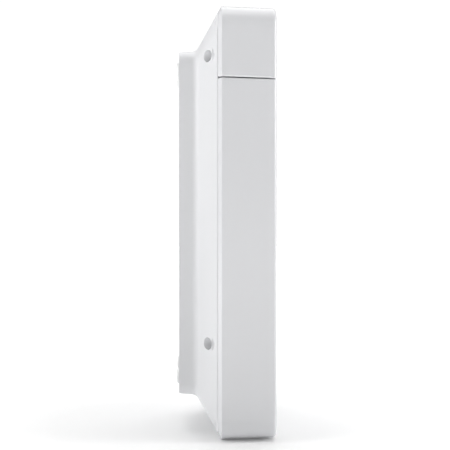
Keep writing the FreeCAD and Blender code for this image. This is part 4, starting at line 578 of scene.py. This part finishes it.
def pick(test, kind="FACE"):
    """Selects, in edit mode, the faces, edges or vertices that test() says yes to."""
    mesh = bmesh.from_edit_mesh(bpy.context.object.data)
    bpy.ops.mesh.select_mode(type=kind)
    bpy.ops.mesh.select_all(action="DESELECT")
    items = {"FACE": mesh.faces, "EDGE": mesh.edges, "VERT": mesh.verts}[kind]
    for item in items:
        item.select_set(bool(test(item)))
    mesh.select_flush_mode()
    bmesh.update_edit_mesh(bpy.context.object.data)


def lathe(name, profile, centre, steps=64, close=True):
    """A turned piece: profile is (radius, depth) in metres, turned about a line along Y through centre."""
    clean_start()
    bpy.ops.mesh.primitive_plane_add(size=MM)
    piece = bpy.context.object
    piece.name = name
    bpy.ops.object.mode_set(mode="EDIT")
    bpy.ops.mesh.select_mode(type="VERT")
    bpy.ops.mesh.select_all(action="SELECT")
    bpy.ops.mesh.merge(type="CENTER")
    x, z = centre
    spots = [Vector((x + radius, -depth, z)) for radius, depth in profile]
    if close:
        spots.append(spots[0])
    bpy.ops.transform.translate(value=spots[0])
    for here, there in zip(spots, spots[1:]):
        bpy.ops.mesh.extrude_region_move(TRANSFORM_OT_translate={"value": there - here})
    bpy.ops.mesh.select_all(action="SELECT")
    bpy.ops.mesh.spin(steps=steps, angle=2 * math.pi, center=(x, 0, z), axis=(0, 1, 0))
    bpy.ops.mesh.select_all(action="SELECT")
    bpy.ops.mesh.remove_doubles(threshold=0.002 * MM)
    bpy.ops.mesh.normals_make_consistent(inside=False)
    bpy.ops.object.mode_set(mode="OBJECT")
    return piece


def apply_modifier(piece, kind, **settings):
    """Adds a modifier to a piece and applies it."""
    bpy.context.view_layer.objects.active = piece
    modifier = piece.modifiers.new(kind.lower(), kind)
    for key, value in settings.items():
        setattr(modifier, key, value)
    bpy.ops.object.modifier_apply(modifier=modifier.name)


def smooth(piece, angle):
    """Shades a piece smooth, except over edges sharper than the angle in degrees."""
    clean_start()
    piece.select_set(True)
    bpy.context.view_layer.objects.active = piece
    bpy.ops.object.shade_smooth_by_angle(angle=math.radians(angle))


def settle(piece):
    """Moves a piece's place, turn and scale into its mesh."""
    clean_start()
    piece.select_set(True)
    bpy.context.view_layer.objects.active = piece
    bpy.ops.object.transform_apply(location=True, rotation=True, scale=True)


def joined(name, pieces):
    """One object made of several, under a new name."""
    clean_start()
    for piece in pieces:
        piece.select_set(True)
    bpy.context.view_layer.objects.active = pieces[0]
    if len(pieces) > 1:
        bpy.ops.object.join()
    pieces[0].name = name
    return pieces[0]


def copy_to(piece, offset):
    """A copy with its own mesh, moved by offset."""
    clean_start()
    piece.select_set(True)
    bpy.context.view_layer.objects.active = piece
    bpy.ops.object.duplicate(linked=False)
    bpy.ops.transform.translate(value=offset)
    copied = bpy.context.object
    settle(copied)
    return copied


def finish_piece(piece, body, slot, *nodes, angle=35):
    """Gives a piece its finish, its body and the nodes that it stands for."""
    settle(piece)
    piece.data.materials.clear()
    piece.data.materials.append(FINISHES[slot])
    smooth(piece, angle)
    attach(piece, body)
    if nodes:
        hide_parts(*nodes)
    return piece


def depths(node):
    """Back and front depth of a node."""
    low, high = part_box(node)
    return -high.y, -low.y


def middle(node):
    """Middle of a node in x and z."""
    low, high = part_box(node)
    return (low.x + high.x) / 2, (low.z + high.z) / 2


# Screws


def screw(name, head, head_height, shank, back, front, centre, sizes):
    """One socket-head screw that points to the front, with ridges round its shank for the thread."""
    seat = back + head_height
    edge = 0.25 * MM
    profile = [(0, back), (head / 2 - edge, back), (head / 2, back + edge), (head / 2, seat - edge / 2)]
    profile += [(head / 2 - edge / 2, seat), (shank / 2, seat)]
    root = shank / 2 - sizes.thread_depth
    depth = seat + sizes.thread_pitch
    while depth + sizes.thread_pitch < front - 0.3 * MM:
        profile += [
            (shank / 2, depth),
            (root, depth + sizes.thread_pitch * 0.45),
            (root, depth + sizes.thread_pitch * 0.55),
        ]
        depth += sizes.thread_pitch
    profile += [(shank / 2, depth), (root, front - 0.1 * MM), (root * 0.5, front), (0, front)]
    made = lathe(name, profile, centre, 32, close=False)
    clean_start()
    bpy.ops.mesh.primitive_cylinder_add(
        vertices=6,
        radius=sizes.socket_width / math.sqrt(3),
        depth=2 * head_height * 0.62,
        location=(centre[0], -back, centre[1]),
        rotation=(math.radians(90), 0, 0),
    )
    cutter = bpy.context.object
    settle(cutter)
    apply_modifier(made, "BOOLEAN", operation="DIFFERENCE", object=cutter, solver="EXACT")
    bpy.data.objects.remove(cutter)
    return made


def corner_spots(node, radius):
    """Places of the screws of a node, which stand at the corners or ends of its box."""
    low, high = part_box(node)
    xs = [low.x + radius, high.x - radius]
    zs = [low.z + radius, high.z - radius]
    if zs[1] - zs[0] < radius:
        zs = zs[:1]
    return [(x, z) for x in xs for z in zs]


class DOORBELL_OT_screws(bpy.types.Operator):
    """Socket-head screws with ridged shanks, one set for each kind"""

    bl_idname = "doorbell.screws"
    bl_label = "Screws"

    def execute(self, context):
        sizes = context.scene.doorbell_sizes
        kinds = (
            ("case_screws", 4.2 * MM, 1.6 * MM, 2.5 * MM),
            ("main_board_screws", 4.2 * MM, 1.6 * MM, 2.5 * MM),
            ("camera_screws", 3.6 * MM, 1.3 * MM, 2.0 * MM),
            ("speaker_screws", 3.6 * MM, 1.3 * MM, 2.0 * MM),
        )
        for node, head, head_height, shank in kinds:
            back, front = depths(node)
            spots = corner_spots(node, head / 2)
            first = screw(node + "_turned", head, head_height, shank, back, front, spots[0], sizes)
            rest = [copy_to(first, (x - spots[0][0], 0, z - spots[0][1])) for x, z in spots[1:]]
            whole = joined(node + "_turned", [first, *rest])
            finish_piece(whole, HOUSING, "screw_steel", node)
        return {"FINISHED"}


# Button


class DOORBELL_OT_spring(bpy.types.Operator):
    """Round-wire coil spring under the call button"""

    bl_idname = "doorbell.spring"
    bl_label = "Button spring"

    def execute(self, context):
        sizes = context.scene.doorbell_sizes
        low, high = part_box("button_spring")
        centre = middle("button_spring")
        wire = sizes.spring_wire
        rise = (high.y - low.y) - wire
        radius = (high.x - low.x - wire) / 2
        clean_start()
        bpy.ops.mesh.primitive_circle_add(
            vertices=16, radius=wire / 2 * 0.98, rotation=(math.radians(90), 0, 0)
        )
        coil = bpy.context.object
        bpy.ops.object.transform_apply(location=False, rotation=True, scale=False)
        bpy.ops.object.mode_set(mode="EDIT")
        bpy.ops.mesh.select_all(action="SELECT")
        bpy.ops.transform.translate(value=(radius, 0, 0))
        bpy.ops.object.mode_set(mode="OBJECT")
        apply_modifier(
            coil,
            "SCREW",
            axis="Z",
            screw_offset=rise / sizes.spring_turns,
            iterations=sizes.spring_turns,
            steps=40,
            render_steps=40,
            use_normal_calculate=True,
        )
        bpy.ops.object.mode_set(mode="EDIT")
        pick(lambda edge: edge.is_boundary, "EDGE")
        bpy.ops.mesh.fill()
        bpy.ops.mesh.select_all(action="SELECT")
        bpy.ops.mesh.normals_make_consistent(inside=False)
        bpy.ops.object.mode_set(mode="OBJECT")
        coil.rotation_euler = (math.radians(90), 0, 0)
        coil.location = (centre[0], high.y - wire / 2, centre[1])
        coil.name = "button_coil"
        finish_piece(coil, HOUSING, "spring_steel", "button_spring", angle=60)
        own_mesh(coil)
        return {"FINISHED"}


class DOORBELL_OT_seal(bpy.types.Operator):
    """Silicone seal with a folded skin between the button and its guide"""

    bl_idname = "doorbell.seal"
    bl_label = "Button seal"

    def execute(self, context):
        back, front = depths("button_seal")
        low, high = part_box("button_seal")
        centre = middle("button_seal")
        rim = (high.x - low.x) / 2
        ledge = depths("light_ring")[1] - 3.45 * MM
        hub_back = front - 1.3 * MM
        profile = [
            (2.56 * MM, hub_back),
            (4.2 * MM, hub_back),
            (5.4 * MM, hub_back - 0.15 * MM),
            (7.6 * MM, back + 0.35 * MM),
            (9.4 * MM, back + 0.05 * MM),
            (10.2 * MM, back + 0.02 * MM),
            (rim - 0.6 * MM, back),
            (rim, back),
            (rim, ledge),
            (rim - 0.9 * MM, ledge),
            (rim - 0.95 * MM, back + 0.75 * MM),
            (9.4 * MM, back + 0.7 * MM),
            (7.8 * MM, back + 0.95 * MM),
            (5.5 * MM, hub_back + 0.45 * MM),
            (4.2 * MM, hub_back + 0.65 * MM),
            (4.2 * MM, front),
            (2.56 * MM, front),
        ]
        seal = lathe("button_boot", profile, centre, 64)
        finish_piece(seal, HOUSING, "clear_rubber", "button_seal")
        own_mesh(seal)
        return {"FINISHED"}


# Wall pads


class DOORBELL_OT_pads(bpy.types.Operator):
    """Four soft pads, low discs with well rounded edges, sunk in the plinth's back"""

    bl_idname = "doorbell.pads"
    bl_label = "Wall pads"

    def execute(self, context):
        radius = context.scene.doorbell_sizes.pad_diameter / 2
        back, front = depths("wall_pads")
        proud = -back
        rounding = ((0.45, 0.02), (0.72, 0.10), (0.88, 0.30), (0.97, 0.62))
        profile = [(0, back), *((radius * out, back + proud * rise) for out, rise in rounding)]
        profile += [(radius, back + proud), (radius, front), (0, front)]
        spots = corner_spots("wall_pads", radius)
        first = lathe("soft_pads", profile, spots[0], 48, close=False)
        rest = [copy_to(first, (x - spots[0][0], 0, z - spots[0][1])) for x, z in spots[1:]]
        finish_piece(joined("soft_pads", [first, *rest]), HOUSING, "pale_rubber", "wall_pads", angle=50)
        return {"FINISHED"}


# Camera and motion sensor


class DOORBELL_OT_lens_barrel(bpy.types.Operator):
    """Lens barrel with stepped rings round the front glass"""

    bl_idname = "doorbell.lens_barrel"
    bl_label = "Lens barrel"

    def execute(self, context):
        back, front = depths("lens_barrel")
        low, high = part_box("lens_barrel")
        outer = (high.x - low.x) / 2
        slim, mouth, glass_seat, bore = 4.3 * MM, 3.95 * MM, 3.0 * MM, 2.2 * MM
        groove, ring_width, ring_drop = 0.25 * MM, 0.3 * MM, 0.28 * MM
        step = depths("lens_baffle")[0]
        glass_back = depths("front_lens")[0]
        profile = [(bore, back), (outer - 0.3 * MM, back)]
        depth = back + 0.4 * MM
        while depth < step - 1.4 * MM:
            profile += [(outer, depth), (outer - groove, depth + groove)]
            depth += 2 * groove
        profile += [(outer, step - 0.9 * MM), (outer, step - 0.2 * MM), (outer - 0.2 * MM, step)]
        profile += [(slim, step), (slim, front - groove), (slim - groove, front), (mouth, front)]
        radius, depth = mouth, front
        for _ in range(3):
            depth -= ring_drop
            profile += [(radius, depth), (radius - ring_width, depth)]
            radius -= ring_width
        profile += [(glass_seat, depth), (glass_seat, glass_back), (bore, glass_back)]
        barrel = lathe("lens_barrel_turned", profile, middle("lens_barrel"), 72)
        finish_piece(barrel, HOUSING, "black_plastic", "lens_barrel", angle=25)
        # The front lens gets the finish with the painted reflection tint of its coating.
        for held in NODES["front_lens"].material_slots:
            held.material = FINISHES["sensor_glass"]
        return {"FINISHED"}


class DOORBELL_OT_motion_lens(bpy.types.Operator):
    """Domed lens of the motion sensor, moulded in small facets"""

    bl_idname = "doorbell.motion_lens"
    bl_label = "Motion lens"

    def execute(self, context):
        sizes = context.scene.doorbell_sizes
        back, front = depths("motion_lens")
        low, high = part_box("motion_lens")
        flange = (high.x - low.x) / 2
        x, z = middle("motion_lens")
        dome_radius, half, wall = 13.0 * MM, flange - 1.6 * MM, 0.6 * MM
        rise = dome_radius - math.sqrt(dome_radius**2 - half**2)
        centre_y = -(front - dome_radius)
        clean_start()
        bpy.ops.mesh.primitive_ico_sphere_add(
            subdivisions=4, radius=dome_radius, location=(x, centre_y, z), rotation=(math.radians(90), 0, 0)
        )
        lens = bpy.context.object
        settle(lens)
        bpy.ops.object.mode_set(mode="EDIT")
        bpy.ops.mesh.select_all(action="SELECT")
        rim = -(front - rise)
        bpy.ops.mesh.bisect(plane_co=(0, rim, 0), plane_no=(0, 1, 0), clear_outer=True)
        pick(lambda face: True)
        bpy.ops.mesh.inset(thickness=sizes.facet_groove / 2, depth=0.0, use_individual=True)
        bpy.ops.transform.shrink_fatten(value=-0.06 * MM)
        ledge = -(back + 0.8 * MM)
        pick(lambda edge: edge.is_boundary, "EDGE")
        radius, level = half, rim
        for to_radius, to_level in ((half, ledge), (flange, ledge), (flange, -back)):
            bpy.ops.mesh.extrude_edges_move(TRANSFORM_OT_translate={"value": (0, to_level - level, 0)})
            if to_radius != radius:
                wide = to_radius / radius
                bpy.ops.transform.resize(value=(wide, 1, wide), center_override=(x, to_level, z))
            radius, level = to_radius, to_level
        bpy.ops.mesh.select_all(action="SELECT")
        bpy.ops.mesh.normals_make_consistent(inside=False)
        bpy.ops.object.mode_set(mode="OBJECT")
        apply_modifier(lens, "SOLIDIFY", thickness=wall, offset=-1.0)
        lens.name = "motion_lens_faceted"
        finish_piece(lens, HOUSING, "milky_lens", "motion_lens", angle=12)
        return {"FINISHED"}


# Circuit boards


def chip(name, x, z, depth, facing, width, height, thick, lift=0.0):
    """A chip on a board face or above it: facing is 1 towards the front and -1 towards the back."""
    clean_start()
    y = -(depth + facing * (lift + thick / 2))
    bpy.ops.mesh.primitive_cube_add(size=1, location=(x, y, z), scale=(width, thick, height))
    body = bpy.context.object
    body.name = name
    settle(body)
    bpy.ops.object.mode_set(mode="EDIT")
    far = -(depth + facing * (lift + thick))
    pick(lambda face: abs(face.calc_center_median().y - far) < 1e-6)
    bpy.ops.transform.resize(value=(0.94, 1, 0.94))
    pick(lambda edge: True, "EDGE")
    bpy.ops.mesh.bevel(offset=min(width, height, thick) * 0.12, segments=2)
    bpy.ops.object.mode_set(mode="OBJECT")
    return body


def legs_for(name, x, z, depth, facing, width, height, count):
    """Two rows of bent legs beside a chip."""
    rows = []
    pitch = height * 0.86 / count
    for side in (-1, 1):
        for index in range(count):
            clean_start()
            leg_z = z + (index - (count - 1) / 2) * pitch
            leg_x = x + side * (width / 2 + 0.15 * MM)
            at = (leg_x, -(depth + facing * 0.3 * MM), leg_z)
            shoulder = (0.5 * MM, 0.14 * MM, pitch * 0.4)
            bpy.ops.mesh.primitive_cube_add(size=1, location=at, scale=shoulder)
            leg = bpy.context.object
            settle(leg)
            bpy.ops.object.mode_set(mode="EDIT")
            end = leg_x + side * 0.25 * MM
            pick(lambda face: abs(face.calc_center_median().x - end) < 1e-6)
            drop, foot = (side * 0.12 * MM, facing * 0.22 * MM, 0), (side * 0.3 * MM, 0, 0)
            for move in (drop, foot):
                bpy.ops.mesh.extrude_region_move(TRANSFORM_OT_translate={"value": move})
            bpy.ops.object.mode_set(mode="OBJECT")
            rows.append(leg)
    return joined(name, rows)


class DOORBELL_OT_board_chips(bpy.types.Operator):
    """Chips, legs and small chip resistors and capacitors on the main board"""

    bl_idname = "doorbell.board_chips"
    bl_label = "Board components"

    def execute(self, context):
        sizes = context.scene.doorbell_sizes
        back, front = depths("main_board")
        low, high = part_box("main_board")
        chips, legs, small = [], [], []
        # x, z, side of the board, width, height (mm) and the legs in each row
        layout = (
            (-17.5, 16.0, -1, 6.0, 8.0, 6),
            (18.0, 2.0, -1, 5.0, 6.2, 5),
            (-18.5, -8.0, -1, 4.4, 5.2, 4),
            (19.5, -57.5, -1, 4.0, 5.0, 4),
            (18.0, 20.0, 1, 5.0, 6.0, 5),
            (-18.5, 22.0, 1, 4.4, 5.2, 4),
            (-19.0, -28.0, 1, 4.4, 5.2, 4),
        )
        for index, (x, z, facing, width, height, count) in enumerate(layout):
            face = front if facing > 0 else back
            spec = (x * MM, z * MM, face, facing, width * MM, height * MM)
            chips.append(chip(f"chip_{index}", *spec, sizes.chip_height, lift=0.1 * MM))
            legs.append(legs_for(f"legs_{index}", *spec, count))
        finish_piece(joined("board_chips", chips), HOUSING, "black_plastic")
        finish_piece(joined("board_chip_legs", legs), HOUSING, "tinned_steel")
        places = random.Random(7)
        for index in range(36):
            facing = 1 if index % 2 else -1
            side = 1 if index % 4 < 2 else -1
            reach = (14.4, 15.4) if facing < 0 else (23.4, 24.4)
            x = side * places.uniform(*reach) * MM
            z = (-24.0 + index * 1.7) * MM
            face = front if facing > 0 else back
            crowded = any(
                way == facing
                and abs(x - across * MM) < (width / 2 + 1.4) * MM
                and abs(z - up * MM) < (height / 2 + 0.9) * MM
                for across, up, way, width, height, _ in layout
            )
            if low.z + 8 * MM < z < high.z - 9 * MM and not crowded:
                small.append(chip(f"small_{index}", x, z, face, facing, 0.8 * MM, 1.2 * MM, 0.5 * MM))
        finish_piece(joined("small_chips", small), HOUSING, "ferrite")
        return {"FINISHED"}


# Stage

FLOOR_GAP = 0.02 * MM
AIM_DEPTH = 16.4 * MM
AIM_HEIGHT = -0.8 * MM


def lamp(name, place, width, height, power):
    """An area light that looks at the middle of the doorbell."""
    bpy.ops.object.light_add(type="AREA", location=place)
    light = bpy.context.object
    light.name = name
    light.rotation_euler = Vector(place).to_track_quat("Z", "Y").to_euler()
    light.data.shape = "RECTANGLE"
    light.data.size = width
    light.data.size_y = height
    light.data.energy = power
    return light


def floor_painted_light():
    """Pale floor with painted light: it glows less next to the doorbell, which paints a darker shade round
    its foot, and more away from it, and this glow also lights the doorbell's lower sides; far off it
    brightens so that it meets the backdrop with no line.
    """
    material, tree, shader = new_finish("pale_floor_painted_light")
    shader.inputs["Base Color"].default_value = (0.93, 0.93, 0.93, 1.0)
    shader.inputs["Roughness"].default_value = 0.9
    shader.inputs["Emission Strength"].default_value = 1.0
    far = add(tree, "ShaderNodeVectorMath", operation="LENGTH")
    tree.links.new(add(tree, "ShaderNodeTexCoord").outputs["Object"], far.inputs[0])
    # Painted shade and light: the glow is held low within 5 cm of the middle and rises until 20 cm out, which
    # darkens the floor round the foot and lights the doorbell's lower sides. Past 0.4 m it keeps rising so
    # that the far floor meets the backdrop.
    floor_glow_painted = add(tree, "ShaderNodeMath", operation="ADD")
    tree.links.new(remap(tree, far.outputs["Value"], 0.06, 0.44, 0.05, 0.20), floor_glow_painted.inputs[0])
    tree.links.new(remap(tree, far.outputs["Value"], 0.0, 0.75, 0.4, 1.6), floor_glow_painted.inputs[1])
    tree.links.new(floor_glow_painted.outputs[0], shader.inputs["Emission Color"])
    return material


def studio_world():
    """White backdrop whose light is weaker from the camera's side."""
    world = bpy.data.worlds.new("studio")
    world.use_nodes = True
    tree = world.node_tree
    backdrop = tree.nodes["Background"]
    backdrop.inputs["Color"].default_value = (1, 1, 1, 1)
    way = add(tree, "ShaderNodeSeparateXYZ")
    tree.links.new(add(tree, "ShaderNodeTexCoord").outputs["Generated"], way.inputs["Vector"])
    shade = remap(tree, way.outputs["X"], 0.0, 0.24, -1.0, 1.0)
    level = add(tree, "ShaderNodeMix", data_type="FLOAT", B=1.05)
    tree.links.new(add(tree, "ShaderNodeLightPath").outputs["Is Camera Ray"], level.inputs["Factor"])
    tree.links.new(shade, level.inputs["A"])
    tree.links.new(level.outputs["Result"], backdrop.inputs["Strength"])
    return world


class DOORBELL_OT_stage(bpy.types.Operator):
    """Pale floor, soft lights, backdrop and camera"""

    bl_idname = "doorbell.stage"
    bl_label = "Stage"

    def execute(self, context):
        settings = context.scene.doorbell_stage
        low = Vector(CAD_BOUNDS[0])
        clean_start()
        bpy.ops.mesh.primitive_plane_add(size=settings.floor_size, location=(0, 0, low.z - FLOOR_GAP))
        floor = context.object
        floor.name = "floor"
        floor.data.materials.append(floor_painted_light())
        side = math.radians(270) - settings.camera_turn
        back = Vector((math.sin(side), -math.cos(side), 0))
        aim = Vector((low.x, -AIM_DEPTH, AIM_HEIGHT))
        bpy.ops.object.camera_add(location=aim + back * settings.camera_distance)
        camera = context.object
        camera.name = "camera"
        camera.rotation_euler = back.to_track_quat("Z", "Y").to_euler()
        camera.data.lens = settings.camera_lens
        camera.data.sensor_width = 36
        camera.data.clip_start = 0.01
        context.scene.camera = camera
        lamp("top_light", (0.18, 0.0, 0.9), 1.2, 1.2, settings.top_power)
        lamp("front_light", (-0.17, -0.98, 0.3), 0.3, 0.5, settings.front_power)
        lamp("back_light", (-0.2, 0.98, 0.35), 0.45, 0.5, settings.back_power)
        lamp("low_fill", (-0.55, 0.0, -0.02), 0.5, 0.1, settings.fill_power)
        context.scene.world = studio_world()
        context.scene.view_settings.view_transform = "Standard"
        return {"FINISHED"}


class DOORBELL_PT_pieces(bpy.types.Panel):
    """Every step of the doorbell, in order"""

    bl_idname = "DOORBELL_PT_pieces"
    bl_label = "Doorbell"
    bl_space_type = "VIEW_3D"
    bl_region_type = "UI"
    bl_category = "Doorbell"

    def draw(self, context):
        for settings in ("doorbell_sizes", "doorbell_colours", "doorbell_stage"):
            box = self.layout.box()
            for name in getattr(context.scene, settings).__annotations__:
                box.prop(getattr(context.scene, settings), name)
        for step in STEPS:
            self.layout.operator(step.bl_idname)


STEPS = (
    DOORBELL_OT_stage,
    DOORBELL_OT_finishes,
    DOORBELL_OT_screws,
    DOORBELL_OT_spring,
    DOORBELL_OT_seal,
    DOORBELL_OT_pads,
    DOORBELL_OT_lens_barrel,
    DOORBELL_OT_motion_lens,
    DOORBELL_OT_board_chips,
)
CLASSES = (DoorbellSizes, DoorbellStageSettings, DoorbellColours, *STEPS, DOORBELL_PT_pieces)


def register():
    """Adds the settings, the operators and the panel."""
    for item in CLASSES:
        bpy.utils.register_class(item)
    bpy.types.Scene.doorbell_sizes = bpy.props.PointerProperty(type=DoorbellSizes)
    bpy.types.Scene.doorbell_stage = bpy.props.PointerProperty(type=DoorbellStageSettings)
    bpy.types.Scene.doorbell_colours = bpy.props.PointerProperty(type=DoorbellColours)


def unregister():
    """Takes them away again."""
    for name in ("doorbell_colours", "doorbell_stage", "doorbell_sizes"):
        delattr(bpy.types.Scene, name)
    for item in reversed(CLASSES):
        bpy.utils.unregister_class(item)


def main():
    """Runs every step in order."""
    register()
    for step in STEPS:
        group, name = step.bl_idname.split(".")
        getattr(getattr(bpy.ops, group), name)()


if __name__ == "__main__":
    main()
